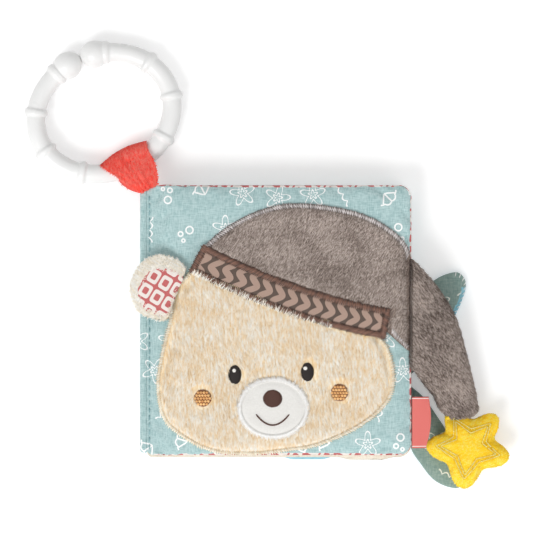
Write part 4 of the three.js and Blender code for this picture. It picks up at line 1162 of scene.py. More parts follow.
# Crown of the nightcap. Grey-brown velour laid on the cover above the head and sewn down round its
# arch with a pale zigzag. It ends at the fold along the fore edge, where the loose tip begins.
cap_middle = cap_centre + (cap_width * 0.1, 0)
cap_shares = [
    [1, -0.985], [1, -0.35], [1, 0.3], [0.94, 0.485], [0.764, 0.701], [0.536, 0.863], [0.278, 0.952],
    [-0.041, 1], [-0.255, 0.976], [-0.516, 0.851], [-0.757, 0.654], [-0.932, 0.43], [-0.985, 0.31],
    [-0.058, -0.288], [0.646, -0.563], [0.779, -0.697],
]
cap_outline = smooth_outline(cap_shares, cap_centre, cap_width / 2, cap_height / 2, 280)
cap_outline[:, 0] = np.minimum(cap_outline[:, 0], fore_edge - 0.3)
grey_plush, grey_tufts = plush_finish("grey velour", colour(92, 77, 69), colour(153, 137, 127),
                                      colour(216, 201, 192), fineness=2100.0, nap=1.0)


def cap_profile(inward, plan):
    """The plush profile with two soft creases that run down from the arch."""
    x, y = plan[..., 0], plan[..., 1]
    crease = np.exp(-((x - 34 - 0.25 * (y - 20)) / 3.0) ** 2) * np.exp(-((y - 30) / 14) ** 2)
    fold = np.exp(-((x - 12 + 0.5 * (y - 25)) / 4.0) ** 2) * np.exp(-((y - 26) / 12) ** 2)
    return plush_profile(inward, plan) - 0.45 * crease - 0.3 * fold


cap = piece("nightcap_crown", *applique(cap_outline, cap_middle, on_cover, cap_profile), [grey_plush])
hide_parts("hat_crown")
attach(cap, "front_cover")
on_cap = level_on(on_cover, cap_outline, cap_middle, cap_profile)
inside_cap = reach_inside(cap_outline, cap_middle)


def piled_cap(at, up):
    return (up[:, 2] > 0.1) * pile_share(inside_cap(at[:, 0], at[:, 1])) * beside_band(at)


cap_pile = tufts("nightcap_crown_pile", cap, 40000, 1.7, 0.34, 1.1, 1.0, 43, grey_tufts, lock=(0.6, 1.3),
                 clump=3.0, keep=piled_cap, trim=lambda x, y: rim_trim(inside_cap(x, y)))
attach(cap_pile, "front_cover")
pale_thread = thread_finish("pale grey thread", colour(222, 214, 212), colour(84, 72, 68))
cap_stitch = zigzag("nightcap_stitches", cap_outline, on_cap, 0.0, 2.4, 240, 0.3, pale_thread, 0.5,
                    keep=lambda at: (at[:, 0] < fore_edge - 1.5) & (beside_band(at) > 0))
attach(cap_stitch, "front_cover")

# Band of the nightcap. A woven ribbon with zigzag stripes, laid over the joint of cap and head on a
# gentle bend, and framed by a wide satin zigzag in brown. Some strands of the plush lie over its lower
# edge.
border_width = 2.9
stripe_pitch = 6.0
stripe_width = 2.9
stripe_swing = 3.1
stripe_period = 7.3
stripe_shift = 6.5
shifted_share = 0.38


def under_band(x, y):
    """Level of the plush that the band presses down, of the cap or the head."""
    return on_cover(x, y) + 1.3


band_length = np.linalg.norm(np.diff(band_line, axis=0), axis=1).sum()
band_across = np.linspace(-1, 1, 17)
band_inset = 0.6
band_plan = band_line[None] + band_across[:, None, None] * band_side * (ribbon_width / 2 - band_inset)
band_x, band_y = band_plan[..., 0], band_plan[..., 1]
band_level = under_band(band_x, band_y) + 0.5
band_level += 0.35 * (1 - band_across[:, None] ** 2) + 0.06 * ripple(band_x, band_y, 11.0, 51)
band_top = np.concatenate([band_plan, band_level[..., None]], -1)
band_bottom = band_top - (0, 0, 0.5)
band_top[0, :, 2] -= 0.4
band_top[-1, :, 2] -= 0.4

band_finish, tree, shader, place = new_material("chevron ribbon", 0.6)
lengthways, crossways = own_map(tree)
turn = maths(tree, "MULTIPLY", crossways, np.pi / stripe_period)
rounded_right = maths(tree, "ABSOLUTE", maths(tree, "COSINE", turn))
rounded_left = maths(tree, "SUBTRACT", 1.0, maths(tree, "ABSOLUTE", maths(tree, "SINE", turn)))
from_left = maths(tree, "MULTIPLY_ADD", rounded_left, -stripe_swing, lengthways)
cycle = maths(tree, "FRACT", maths(tree, "DIVIDE", from_left, stripe_pitch))
cycle = maths(tree, "MULTIPLY", cycle, stripe_pitch)
breadth = maths(tree, "SUBTRACT", rounded_right, rounded_left)
breadth = maths(tree, "MULTIPLY_ADD", breadth, stripe_swing, stripe_width)
chevron = maths(tree, "LESS_THAN", cycle, breadth)
ridges = [maths(tree, "ABSOLUTE", maths(tree, "SINE", maths(tree, "MULTIPLY", along, 7.0)))
          for along in (lengthways, crossways)]
weave = maths(tree, "MULTIPLY", ridges[0], ridges[1])
# Both colours are lighter on the crests of the weave and darker in its dips: painted light and shade.
ground = mixed(tree, weave, colour(73, 58, 49), colour(100, 82, 71))
bright = mixed(tree, weave, colour(160, 132, 117), colour(188, 160, 145))
tree.links.new(mixed(tree, chevron, ground, bright), shader.inputs["Base Color"])
raise_up(tree, shader, maths(tree, "MULTIPLY_ADD", chevron, 0.8, weave), 0.4, 0.0002)


def sheet_map(u, v):
    """Map of the points of a closed form between two grids: the upper ones, then the inner lower ones."""
    grid = np.stack(np.broadcast_arrays(u, v), -1)
    return np.concatenate([grid.reshape(-1, 2), grid[1:-1, 1:-1].reshape(-1, 2)])


band_points, band_faces = closed_sheets(band_top[::-1], band_bottom[::-1])
band_v = band_across[::-1, None] * (ribbon_width / 2 - band_inset)
band_v = band_v + stripe_shift * np.maximum(0, 1 - band_steps / shifted_share) ** 2
band_uv = sheet_map(band_steps * band_length, band_v)
band = piece("nightcap_band", band_points, band_faces, [band_finish], uv=band_uv)
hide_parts("hat_band")
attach(band, "front_cover")


def rectangle_along_ribbon(inset, count):
    """Closed line round the ribbon, a distance inside its edge, counterclockwise."""
    half = ribbon_width / 2 - inset
    cut = inset / band_length
    forward = np.linspace(cut, 1 - cut, 200)
    line, side = ribbon_place(forward)
    across = np.linspace(-1, 1, 30)[1:-1]
    end_line, end_side = ribbon_place(np.array([1 - cut]))
    start_line, start_side = ribbon_place(np.array([cut]))
    return even_steps(np.concatenate([
        line - side * half, end_line + end_side * half * across[:, None],
        (line + side * half)[::-1], start_line - start_side * half * across[:, None],
    ]), count)


def on_band(x, y):
    return under_band(x, y) + 0.85


satin_brown = thread_finish("brown satin thread", colour(128, 89, 71), colour(34, 20, 15))
border = zigzag("nightcap_band_border", rectangle_along_ribbon(0.0, 620), on_band, 0.0, border_width,
                270, 0.29, satin_brown, 0.9)
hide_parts("hat_band_border")
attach(border, "front_cover")
strand_count = 240
random = np.random.default_rng(53)
strand_line, strand_side = ribbon_place(0.02 + 0.7 * random.random(strand_count) ** 1.4)
strand_root = strand_line - strand_side * (ribbon_width / 2 + 0.8)
strand_turn = random.normal(0, 0.35, (strand_count, 1))
strand_aim = strand_side + strand_turn * np.stack([-strand_side[:, 1], strand_side[:, 0]], -1)
strand_end = strand_root + strand_aim * random.uniform(1.4, 3.6, (strand_count, 1))
pale_strand = thread_finish("pale plush strand", colour(255, 253, 246), colour(236, 218, 188))
strands = thread_bars("head_strands", strand_root, strand_end, lambda x, y: on_band(x, y) + 0.35, 0.13, 2.2,
                      pale_strand)
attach(strands, "front_cover")

# Ear. A small padded flap, cream plush in front with a patterned cotton inset, cotton behind, sewn
# under the edge of the head so that it can be lifted.
ear_width = 25.6
ear_height = 28.2
ear_thickness = 3.2
ear_level = front_middle + cover_thickness / 2 + front_swell + 0.3 + ear_thickness / 2
ear_root = on_face(-0.813, 0.722)
ear_centre = ear_root + (-0.32 * ear_width, 0.12 * ear_height)
ear_middle = ear_centre - (ear_width * 0.05, 0)
ear_shares = [
    [0.84, 0.62], [0.1, 1], [-0.5, 0.85], [-0.9, 0.35], [-1, -0.02], [-0.72, -0.72], [-0.25, -0.93],
    [0.24, -0.97], [0.42, -0.5], [0.65, 0.12],
]
ear_outline = smooth_outline(ear_shares, ear_centre, ear_width / 2, ear_height / 2, 120)


def cushion(outline, middle, level, thickness, seam_half, puckers=0.0, seed=0, dip=None):
    """Points of a stuffed form over an outline: both sides rise as a quarter round from a seam at
    mid height, with dents along the seam."""
    spokes = outline - middle
    plan = middle + disc_shares[:, None, None] * spokes
    inward = (1 - disc_shares[:, None]) * np.linalg.norm(spokes, axis=1)
    crown = np.sqrt(1 - disc_shares[:, None] ** 2)
    dents = puckers * np.exp(-((inward - 2.0) / 2.0) ** 2)
    dents = dents * (0.5 + 0.5 * ripple(plan[..., 0], plan[..., 1], 4.0, seed))
    half = seam_half * (disc_shares[:, None] < 0.999) + (thickness / 2 - seam_half) * crown - dents
    if dip is not None:
        half = half - dip(plan, inward)
    half[0] = 0
    centre_level = level(plan[..., 0], plan[..., 1])
    top = np.concatenate([plan, (centre_level + half)[..., None]], -1)
    bottom = np.concatenate([plan, (centre_level - half)[..., None]], -1)
    return top, bottom


def flat_ear(x, y):
    return ear_level + 0 * x


ear_top, ear_bottom = cushion(ear_outline, ear_middle, flat_ear, ear_thickness, 0.5, 0.15, 61)
ear_points, ear_faces = closed_disc(ear_top, ear_bottom)
inside_ear = reach_inside(ear_outline, ear_middle)
ear_kinds = np.concatenate([np.full(len(block), k // 2) for k, block in enumerate(ear_faces)])
ear = piece("ear_flap", ear_points, ear_faces, [cream_plush, teal_cotton], face_materials=ear_kinds)
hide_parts("ear_front", "ear_back")
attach(ear, "ear")

inset_half = (11.1, 11.2)
inset_centre = ear_centre + (0.8, -1.8)
inset_outline = smooth_outline(ear_shares, inset_centre, *inset_half, 90)
in_inset = reach_inside(inset_outline, inset_centre)
ear_tufts = plush_finish("pale plush", colour(240, 228, 206), colour(252, 246, 233),
                         colour(255, 255, 252), nap=2.6)[1]
ear_pile = tufts("ear_pile", ear, 9000, 2.0, 0.4, 1.1, 2.6, 63, ear_tufts, stray=0.9, lock=(1.1, 2.0),
                 keep=lambda at, up: (up[:, 2] > -0.3) * (in_inset(at[:, 0], at[:, 1]) < 0.6) * 1.0)
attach(ear_pile, "ear")


def on_ear(x, y):
    """Level of the ear's front, from the share of the way in from its outline."""
    outer = np.minimum(inside_ear(x, y), 14)
    share = 1 - outer / np.maximum(outer + np.hypot(x - ear_middle[0], y - ear_middle[1]), 1e-6)
    return ear_level + 0.5 + (ear_thickness / 2 - 0.5) * np.sqrt(np.maximum(0, 1 - share ** 2))


def turned_edge(inward, plan):
    return 0.35 * quarter_round(inward / 0.5)


inset = piece("ear_inset_cotton", *applique(inset_outline, inset_centre, on_ear, turned_edge),
              [lattice_cotton])
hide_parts("ear_inset")
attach(inset, "ear")

# Tip of the nightcap. A stuffed tube of the same velour that hangs from the fold at the fore edge,
# flat where it is sewn in, full in its middle and drawn in where the star is sewn to its end.
tip_reach = 30.4
tip_drop = 71.9
tip_root = np.array([fore_edge + 0.3, cap_centre[1] + 8.5])
tip_right_shares = [[0, 0], [0.319, -0.15], [0.618, -0.346], [0.809, -0.601], [0.934, -0.821], [0.985, -0.93]]
tip_left_shares = [[0, -0.683], [0.211, -0.798], [0.324, -0.857], [0.414, -0.937], [0.52, -0.985]]
tip_hinge_level = front_middle + 1.8
star_level = 11.0
tip_thickness = 9.4
tip_end_thickness = 6.4


def open_curve(shares, place, width, height, count):
    """Curve through the given points, at equal steps along it."""
    given = np.array(shares) * (width, height) + place
    curve = spline(np.concatenate([[2 * given[0] - given[1]], given, [2 * given[-1] - given[-2]]]))
    curve = np.concatenate([curve, given[-1:]])
    length = np.concatenate([[0], np.cumsum(np.linalg.norm(np.diff(curve, axis=0), axis=1))])
    places = np.linspace(0, length[-1], count)
    return np.stack([np.interp(places, length, curve[:, k]) for k in (0, 1)], -1)


tip_rows = 90
tip_sides = 40
tip_seam_half = 0.8
tip_fullest = 0.45
tip_share = np.linspace(0, 1, tip_rows)
tip_right = open_curve(tip_right_shares, tip_root, tip_reach, tip_drop, tip_rows)
tip_left = open_curve(tip_left_shares, tip_root, tip_reach, tip_drop, tip_rows)
swelling = np.sin(np.minimum(tip_share / tip_fullest, 1) * np.pi / 2)
full = tip_seam_half + (tip_thickness / 2 - tip_seam_half) * swelling
closing = smooth((tip_share - tip_fullest) / (1 - tip_fullest))
narrow = tip_thickness / 2 + (tip_end_thickness - tip_thickness) / 2 * closing
tip_half = np.where(tip_share < tip_fullest, full, narrow)
tip_middle_level = tip_hinge_level + (star_level - tip_hinge_level) * smooth(tip_share / 0.8)
tip_turn = 2 * np.pi * np.arange(tip_sides) / tip_sides
tip_middle = (tip_right + tip_left) / 2
tip_halfway = (tip_right - tip_left) / 2
tip_wave = tip_middle[:, None] + tip_halfway[:, None] * np.cos(tip_turn)[None, :, None]
wrinkled = np.minimum(tip_share, 0.3)[:, None] / 0.3
tip_wrinkle = 0.25 * ripple(tip_wave[..., 0], tip_wave[..., 1], 9.0, 71) * wrinkled
tip_z = tip_middle_level[:, None] + (tip_half[:, None] + tip_wrinkle) * np.sin(tip_turn)[None, :]
seam_along = (tip_right[-1] - tip_left[-1]) / np.linalg.norm(tip_right[-1] - tip_left[-1])
seam_away = np.array([seam_along[1], -seam_along[0]])
round_end = np.linspace(0, np.pi / 2, 13)[1:]
end_overlap = 3.4
end_middle = tip_middle[-1] + seam_away * end_overlap * np.sin(round_end)[:, None]
end_wave = np.cos(round_end)[:, None] * np.cos(tip_turn)[None, :]
end_plan = end_middle[:, None] + tip_halfway[-1] * end_wave[..., None]
end_half = tip_half[-1] * np.sqrt(np.cos(round_end))
end_z = tip_middle_level[-1] + end_half[:, None] * np.sin(tip_turn)[None, :]
root_x = fore_edge - np.array([0.75, 0.25])[:, None] + 0 * tip_turn
root_y = tip_wave[0, :, 1] + 0 * root_x
root_z = on_cap(root_x, root_y) + 0.4 + 0.25 * np.sin(tip_turn)[None, :]
tip_plan = np.concatenate([np.stack([root_x, root_y], -1), tip_wave, end_plan])
tip_z = np.concatenate([root_z, tip_z, end_z])
tip_points, tip_faces = closed_tube(np.concatenate([tip_plan, tip_z[..., None]], -1))
tip_sewn = np.zeros(len(tip_points), bool)
tip_sewn[:len(tip_z) * tip_sides].reshape(-1, tip_sides)[:, [0, tip_sides // 2]] = True
tip_sewn[:4 * tip_sides] = True
tip_points = filled(tip_points, tip_faces, tip_sewn, 3.0, 0.05, 1.0)
# The tip's velour is given darker colours than the crown's: painted shade on the hanging tip.
dark_plush, dark_tufts = plush_finish("grey velour of the tip in painted shade", colour(66, 52, 45), colour(132, 115, 106),
                                      colour(216, 200, 190), fineness=1700.0, nap=-0.9)
tip = piece("nightcap_tip", tip_points, tip_faces, [dark_plush])
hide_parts("hat_tip_front", "hat_tip_back", "hat_tip_stuffing")
tip_pile = tufts("nightcap_tip_pile", tip, 42000, 2.0, 0.38, 1.1, -0.9, 73, dark_tufts, stray=0.2, clump=3.0,
                 lock=(0.8, 1.6))
for part in (tip, tip_pile):
    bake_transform(part)

# Star. Two pieces of yellow plush sewn and turned, softly stuffed, with a line of stitching that
# follows the outline a little way in and pulls a groove into the pile.
star_radius = 18.9
star_waist = 12.6
star_thickness = 9.0
star_insets = (3.0, 4.3)
star_reach_out = 16.25
star_shift = 1.6
groove_depth = 0.6
groove_half = 0.6
star_arms = np.radians([47, 117, 178, 262, 345])
seam_place = (tip_right[-1] + tip_left[-1]) / 2
star_centre = seam_place + seam_away * star_reach_out - seam_along * star_shift
star_spokes = 240
star_angle = 2 * np.pi * np.arange(star_spokes) / star_spokes
star_away = np.stack([np.cos(star_angle), np.sin(star_angle)], -1)


def arm_phase(angle):
    """A whole number at the tip of each arm, and a half between two of them. The arms are a little
    unevenly set."""
    given = np.concatenate([star_arms[-1:] - 2 * np.pi, star_arms, star_arms[:1] + 2 * np.pi])
    return np.interp(angle, given, np.arange(-1, 6))


star_wave = (1 + np.cos(2 * np.pi * arm_phase(star_angle))) / 2
star_reach = star_waist + (star_radius - star_waist) * star_wave
star_outline = star_centre + star_reach[:, None] * star_away
flat_end = (star_outline - seam_place) @ seam_away
star_outline = star_outline + np.maximum(0.3 - flat_end, 0)[:, None] * seam_away


def stitched_reach(angle, inset):
    """Distance from the middle to a stitched line, a star with straight sides: the tip's distance times
    the waist's times the sine of the angle between them, over the sum of the tip's times the sine
    of the angle from the tip and the waist's times the sine of the angle left to the waist."""
    phase = arm_phase(angle)
    from_tip = 2 * np.abs(phase - np.round(phase))
    waist = star_waist - 1.45 * inset
    tip = star_radius - 1.4 * inset
    apart = np.pi / 5
    side = tip * np.sin(from_tip * apart) + waist * np.sin((1 - from_tip) * apart)
    return tip * waist * np.sin(apart) / side


def off_stitching(x, y):
    """Distance of a place on the star from the nearer one of its two stitched lines."""
    away_x, away_y = x - star_centre[0], y - star_centre[1]
    angle = np.arctan2(away_y, away_x) % (2 * np.pi)
    distance = np.hypot(away_x, away_y)
    return np.minimum(*(np.abs(distance - stitched_reach(angle, inset)) for inset in star_insets))


def pressed_at_seam(plan, inward):
    """Depth by which the star is pressed flat where it is sewn into the tip."""
    near_seam = smooth(((plan - seam_place) @ seam_away) / 7.0)
    return (1 - near_seam) * 2.6 * smooth(inward / 3)


star_ring_shares = np.concatenate([[1], np.linspace(0.992, 0.04, 60)])


def finer(grid):
    """A grid of rings with rings added between them, each ring a mix of its two neighbours."""
    place = np.interp(-star_ring_shares, -disc_shares, np.arange(disc_shares.size))
    low = np.minimum(place.astype(int), disc_shares.size - 2)
    part = (place - low)[:, None, None]
    return grid[low] * (1 - part) + grid[low + 1] * part


def flat_star(x, y):
    return star_level + 0 * x


yellow_plush, yellow_tufts = plush_finish("yellow plush", colour(255, 204, 8), colour(255, 226, 40),
                                          colour(255, 248, 140), fineness=1500.0, nap=0.4, sheen=0.03)
star_top, star_bottom = cushion(star_outline, star_centre, flat_star, star_thickness, 0.9, 0.2, 81,
                                dip=pressed_at_seam)
star_points, star_faces = closed_disc(star_top, star_bottom)
star_sewn = np.zeros(len(star_points), bool)
star_sewn[:len(star_outline)] = True
star_points = filled(star_points, star_faces, star_sewn, 3.0, 0.05, 0.7)
star_rings = star_points[:-2].reshape(-1, star_spokes, 3)
star_upper, star_under = np.split(star_rings, [disc_shares.size])
star_under = np.concatenate([star_upper[:1], star_under])
star_points, star_faces = closed_disc(finer(star_upper), finer(star_under))
groove = np.exp(-(off_stitching(star_points[:, 0], star_points[:, 1]) / groove_half) ** 2)
groove *= smooth(((star_points[:, :2] - seam_place) @ seam_away - 1.0) / 3.0)
star_points[:, 2] -= groove_depth * groove * np.sign(star_points[:, 2] - star_level)
star = piece("star_plush", star_points, star_faces, [yellow_plush])
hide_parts("star_front", "star_back", "star_stuffing")
inside_star = reach_inside(star_outline, star_centre)
star_levels = star_points[:star_ring_shares.size * star_spokes, 2].reshape(-1, star_spokes)


def on_star(x, y):
    """Level of the star's front, from its grid of rings and spokes."""
    away_x, away_y = x - star_centre[0], y - star_centre[1]
    spoke = np.arctan2(away_y, away_x) % (2 * np.pi) / (2 * np.pi) * star_spokes
    share = 1 - inside_star(x, y) / (inside_star(x, y) + np.hypot(away_x, away_y))
    ring = np.interp(-share, -star_ring_shares, np.arange(star_ring_shares.size))
    low, near = np.minimum(ring.astype(int), star_ring_shares.size - 2), spoke.astype(int) % star_spokes
    part = ring - low
    return star_levels[low, near] * (1 - part) + star_levels[low + 1, near] * part


# The tufts beside the stitched lines are painted darker: a painted shade in the grooves.
star_pile = tufts("star_pile", star, 20000, 1.0, 0.36, 1.35, -0.5, 83, yellow_tufts, stray=1.2, clump=2.0,
                  lock=(0.8, 1.2), keep=lambda at, up: (off_stitching(at[:, 0], at[:, 1]) > 0.55) * 1.0,
                  painted_shade=lambda x, y: 2.0 * np.exp(-(off_stitching(x, y) / 1.0) ** 2))
yellow_thread = thread_finish("yellow thread", colour(255, 250, 168), colour(255, 222, 84), sheen=0)
star_seams = []
for seam_name, inset in zip(("outer", "inner"), star_insets):
    line = even_steps(star_centre + stitched_reach(star_angle, inset)[:, None] * star_away, 120)
    line = line[(line - seam_place) @ seam_away > 2.0]
    beside = np.linalg.norm(np.diff(line, axis=0), axis=1) < 2.0
    seam = thread_bars(f"star_{seam_name}_stitches", line[:-1][beside], line[1:][beside],
                       lambda x, y: on_star(x, y) + 0.4, 0.34, 0.8, yellow_thread)
    star_seams.append(seam)
for part in (star, star_pile, *star_seams):
    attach(part, "star")

# Tag. A short woven ribbon folded in half and caught in the fore edge seam, left bare, with a plain
# border line woven along each side.
tag_width = 23.2
tag_reach = 7.2
tag_low_reach = 5.9
tag_top = -34.5
tag_half = 0.5
tag_droop = 1.1

tag_finish, tree, shader, place = new_material("coral tag ribbon", 0.5, 0.2)
way = own_map(tree)[1]
fine = maths(tree, "ABSOLUTE", maths(tree, "SINE", maths(tree, "MULTIPLY", way, 260.0)))
edge_place = maths(tree, "ABSOLUTE", maths(tree, "MULTIPLY_ADD", way, 2.0, -1.0))
rule = maths(tree, "LESS_THAN", maths(tree, "ABSOLUTE", maths(tree, "SUBTRACT", edge_place, 0.93)), 0.014)
# The ground is lighter on the crests of its fine ridges and darker between them: painted light and shade.
ground = mixed(tree, fine, colour(214, 98, 92), colour(234, 122, 114))
tree.links.new(mixed(tree, rule, ground, colour(250, 236, 230)), shader.inputs["Base Color"])
raise_up(tree, shader, fine, 0.3, 0.0001)
tag_fold = np.linspace(0, np.pi, 11)[1:-1]
tag_run = np.concatenate([np.linspace(0, 1, 12), np.ones(9), np.linspace(1, 0, 12)])
tag_rise = np.concatenate([np.ones(12), np.cos(tag_fold), -np.ones(12)])
tag_bulge = np.concatenate([np.zeros(12), np.sin(tag_fold), np.zeros(12)])
tag_rows = np.linspace(0, 1, 40)
tag_length = tag_reach + (tag_low_reach - tag_reach) * tag_rows + 1.6 * np.sin(np.pi * tag_rows)
tag_sheets = []
for inside in (0.0, 0.3):
    x = fore_edge + 0.2 + tag_run * tag_length[:, None] + (tag_half - inside) * tag_bulge
    y = tag_top - tag_width * tag_rows[:, None] + 0 * tag_run
    z = front_middle - tag_droop * tag_run ** 2 + (tag_half - inside) * tag_rise
    z = z + 0.25 * np.sin(4 * tag_rows[:, None]) * tag_run ** 2
    tag_sheets.append(np.stack([x, y, z], -1))
tag_uv = sheet_map(np.linspace(0, 1, len(tag_run)), tag_rows[:, None])
tag = piece("ribbon_tag", *closed_sheets(*tag_sheets), [tag_finish], uv=tag_uv)
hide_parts("woven_tag")
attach(tag, "tag")

# Tail. Two lobes of printed cotton backed with velour, lightly padded, that spread from the back
# cover's fore edge and lie on the table under the tip and the star.
tail_reach = 25.2
tail_span = 98.0
tail_drop = 27.6
tail_thickness = 3.6
tail_level = 2.0
lobe_shares = np.array([
    [0, 0.05], [0, 0.3], [0, 0.62], [0.2, 0.79], [0.43, 0.93], [0.7, 0.995], [0.87, 1], [0.98, 0.94],
    [1, 0.87], [0.93, 0.74], [0.76, 0.56], [0.5, 0.35], [0.22, 0.15], [0.04, 0.07],
])
sage_cotton = cloth_finish("sage printed cotton", colour(156, 178, 171), colour(118, 146, 139),
                           print_mask=sea_mask, print_tone=colour(236, 238, 228))


def flat_tail(x, y):
    return tail_level + 0 * x


tail_points, tail_faces, tail_kinds, first = [], [], [], 0
for side in (1, -1):
    shares = lobe_shares * (1, side)
    if side > 0:
        shares = shares[::-1]
    lobe_place = np.array([fore_edge + 0.3, -tail_drop])
    outline = smooth_outline(shares, lobe_place, tail_reach, tail_span / 2, 160)
    outline[:, 0] = np.maximum(outline[:, 0], fore_edge + 0.3)
    middle = lobe_place + (tail_reach * 0.42, tail_span / 2 * 0.56 * side)
    points, faces = closed_disc(*cushion(outline, middle, flat_tail, tail_thickness, 0.5, 0.15, 91))
    tail_points.append(points)
    tail_faces += [block + first for block in faces]
    kinds = [np.full(len(block), k // 2) for k, block in enumerate(faces)]
    if side > 0:
        rolled = points[faces[0]].mean(1)
        edge = reach_inside(outline, middle)(rolled[:, 0], rolled[:, 1])
        kinds[0] = ((edge < 3.4) & (rolled[:, 0] > middle[0] + 3) & (rolled[:, 1] < middle[1] + 15)) * 1
        whip = even_steps(outline, 150)
        whip = whip[(whip[:, 0] > middle[0] + 9) & (whip[:, 1] > middle[1] + 4)]
        inwards = (middle - whip) / np.linalg.norm(middle - whip, axis=1)[:, None]
        whip_end = whip + inwards * 2.6 + (0.7, 0.4)
    tail_kinds += kinds
    first += len(points)
tail = piece("forked_tail", np.concatenate(tail_points), tail_faces, [sage_cotton, blue_velour],
             face_materials=np.concatenate(tail_kinds))
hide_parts("tail_front_cloth", "tail_back_cloth", "tail_upper_padding", "tail_lower_padding")
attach(tail, "tail")
tail_whip = thread_bars("tail_whip_stitches", whip[::3], whip_end[::3], lambda x, y: flat_tail(x, y) + 1.0,
                        0.25, 2.4, white_thread)
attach(tail_whip, "tail")

# Ring. One oval moulding of white plastic, open between two ball ends, with raised collars that are
# spaced evenly round it and rounded where they meet the rod.
ring_length = 63.3
ring_width = 53.8
rod_radius = 4.35
collar_radius = 5.4
collar_length = 3.4
ball_radius = 6.3
ring_tilt = np.radians(22.6)
ring_middle = np.array([spine_x - 18.6, half_height + 33.0, 6.5])
mean_radius = (ring_length + ring_width) / 4
ball_angles = np.radians([102.6, 438.4])
collar_angles = np.radians(429.2 - 39.4 * np.array([0, 1, 2, 3, 5, 6, 7, 8]))


def oval_path(angle):
    """Points and outward directions along the ring's tilted oval."""
    plan = np.stack([ring_length / 2 * np.cos(angle), ring_width / 2 * np.sin(angle)], -1)
    heading = np.stack([-ring_length * np.sin(angle), ring_width * np.cos(angle)], -1)
    heading /= np.linalg.norm(heading, axis=-1, keepdims=True)
    turn = np.array([[np.cos(ring_tilt), np.sin(ring_tilt)], [-np.sin(ring_tilt), np.cos(ring_tilt)]])
    plan, heading = plan @ turn, heading @ turn
    points = np.concatenate([plan, np.zeros((*angle.shape, 1))], -1) + ring_middle
    return points, np.stack([heading[..., 1], -heading[..., 0], 0 * angle], -1)


ball_span = ball_radius / mean_radius
far_turn = np.linspace(0, np.pi / 2, 14)
start_angles = ball_angles[0] - ball_span * np.cos(far_turn)
stop_angles = ball_angles[1] + ball_span * np.cos(far_turn[::-1])
ring_angles = np.concatenate([start_angles, np.linspace(*ball_angles, 520)[1:-1], stop_angles])
away = np.abs(ring_angles[:, None] - ball_angles).min(1) * mean_radius
ball = np.sqrt(np.maximum(ball_radius ** 2 - away ** 2, 0))
from_collar = np.abs(ring_angles[:, None] - collar_angles).min(1) * mean_radius
collar = rod_radius + (collar_radius - rod_radius) * np.exp(-(from_collar / (collar_length / 2.2)) ** 4)
past_ball = (ring_angles > ball_angles[0]) & (ring_angles < ball_angles[1])
rod = np.where(past_ball, np.maximum(collar, ball), ball)
ring_sides = 36
ring_radii = np.maximum(rod, 0.02)[:, None] * np.ones(ring_sides)
ring_points, ring_outward = oval_path(ring_angles)
ring_up = np.tile([0, 0, -1.0], (len(ring_angles), 1))
white_plastic, tree, shader, place = new_material("white plastic")
flow = noise(tree, place, 60.0)
tree.links.new(mixed(tree, flow, colour(230, 230, 229), colour(241, 241, 240)), shader.inputs["Base Color"])
tree.links.new(wire(tree, "MapRange", flow, 0.3, 0.7, 0.26, 0.34), shader.inputs["Roughness"])
shader.inputs["Subsurface Weight"].default_value = 0.15
shader.inputs["Subsurface Radius"].default_value = (0.003, 0.003, 0.003)
shader.inputs["IOR"].default_value = 1.5
raise_up(tree, shader, flow, 0.08, 0.0003)
ring_rows = tube(ring_points, ring_outward, ring_up, ring_radii, ring_sides)
ring = piece("hand_ring", *closed_tube(ring_rows), [white_plastic])
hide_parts("teething_ring")
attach(ring, "ring")

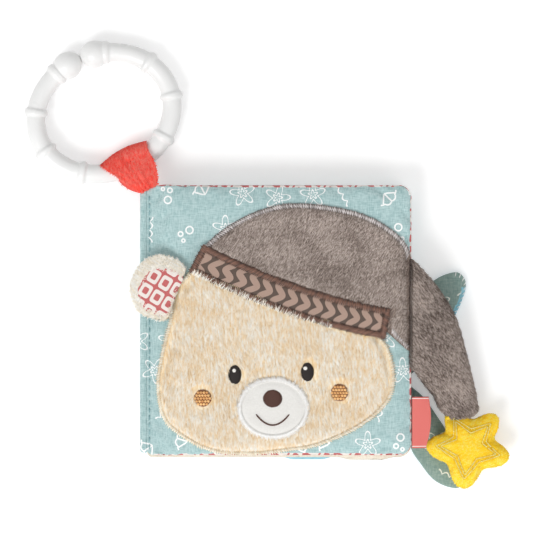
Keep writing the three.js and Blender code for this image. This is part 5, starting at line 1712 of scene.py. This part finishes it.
# Loop. A strip of coral plush folded round the ring and gathered to a narrow neck that is sewn into
# the top end of the spine.
coral_plush, coral_tufts = plush_finish("coral plush", colour(250, 62, 48), colour(255, 100, 85),
                                        colour(255, 146, 132), fineness=1300.0, nap=-1.3, sheen=0.03)
loop_wall = 1.75
hold_angles = np.radians([-103.4, -68])
neck_place = np.array([spine_x + 1.9, half_height - 1.5, 15.9])
neck_slant = np.array([0.883, 0.47, 0])
neck_width = 8.7
neck_thickness = 1.4
loop_share = np.linspace(0, 1, 44)
hold_points = oval_path(hold_angles[0] + (hold_angles[1] - hold_angles[0]) * loop_share)[0]
neck_points = neck_place + neck_slant * (neck_width * (loop_share - 0.5))[:, None]
reach_out = (neck_points - hold_points) * (1, 1, 0)
reach_out /= np.linalg.norm(reach_out, axis=1)[:, None]
loop_radius = rod_radius + loop_wall
bulge = loop_radius + 2.8 * np.sin(np.pi * loop_share)
turns = np.pi + np.linspace(-0.42, 0.7, 33) * np.pi
outer = hold_points[:, None] + (bulge[:, None] * np.cos(turns))[..., None] * reach_out[:, None]
outer[..., 2] = hold_points[:, 2, None] + loop_radius * np.sin(turns)
upper_end = neck_points + (0, 0, neck_thickness / 2)
lower_end = neck_points - (0, 0, neck_thickness / 2)
blend = np.linspace(0, 1, 16)[1:-1]


def drawn(first, second, rise, bow_right, bow_left):
    """Rows from one edge to another that bow upwards by a rise, and at the right and the left side
    outwards in the plane."""
    t = blend[None, :, None]
    rows = first[:, None] * (1 - t) + second[:, None] * t
    arch = np.sin(np.pi * blend)[None, :]
    rows[..., 2] += rise * arch * np.sin(np.pi * np.clip(loop_share, 0.08, 0.92))[:, None]
    right, left = loop_share[:, None] ** 2 * bow_right, (1 - loop_share[:, None]) ** 2 * bow_left
    rows[..., 0] += arch * (0.93 * right - 0.55 * left)
    rows[..., 1] += arch * (0.36 * right - 0.83 * left)
    return rows


upper_side = drawn(outer[:, 0], upper_end, 1.0, 1.6, -0.4)
lower_side = drawn(outer[:, -1], lower_end, -0.4, 0.6, 1.6)
ends = np.stack([lower_end, upper_end], 1)
loop_grid = np.concatenate([outer, lower_side, ends, upper_side[:, ::-1]], 1)
gathers = 0.25 * ripple(loop_share[:, None] * 60, np.linspace(0, 3, loop_grid.shape[1])[None, :], 9.0, 95)
loop_grid[..., 2] += gathers * np.sin(np.pi * loop_share)[:, None]
loop = piece("ring_loop_plush", *closed_tube(loop_grid), [coral_plush])
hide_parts("ring_loop")


def off_turned_leaves(at, up):
    """0 on the part of the loop that a leaf turned over comes close to, 1 elsewhere."""
    return ((at[:, 0] > spine_x - 1.2) | (at[:, 1] > half_height + 0.6)) * 1.0


loop_pile = tufts("ring_loop_pile", loop, 16000, 1.4, 0.4, 1.36, -1.3, 97, coral_tufts, stray=0.6, clump=2.0,
                  lock=(0.9, 1.3), keep=off_turned_leaves)
for part in (loop, loop_pile):
    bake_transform(part)
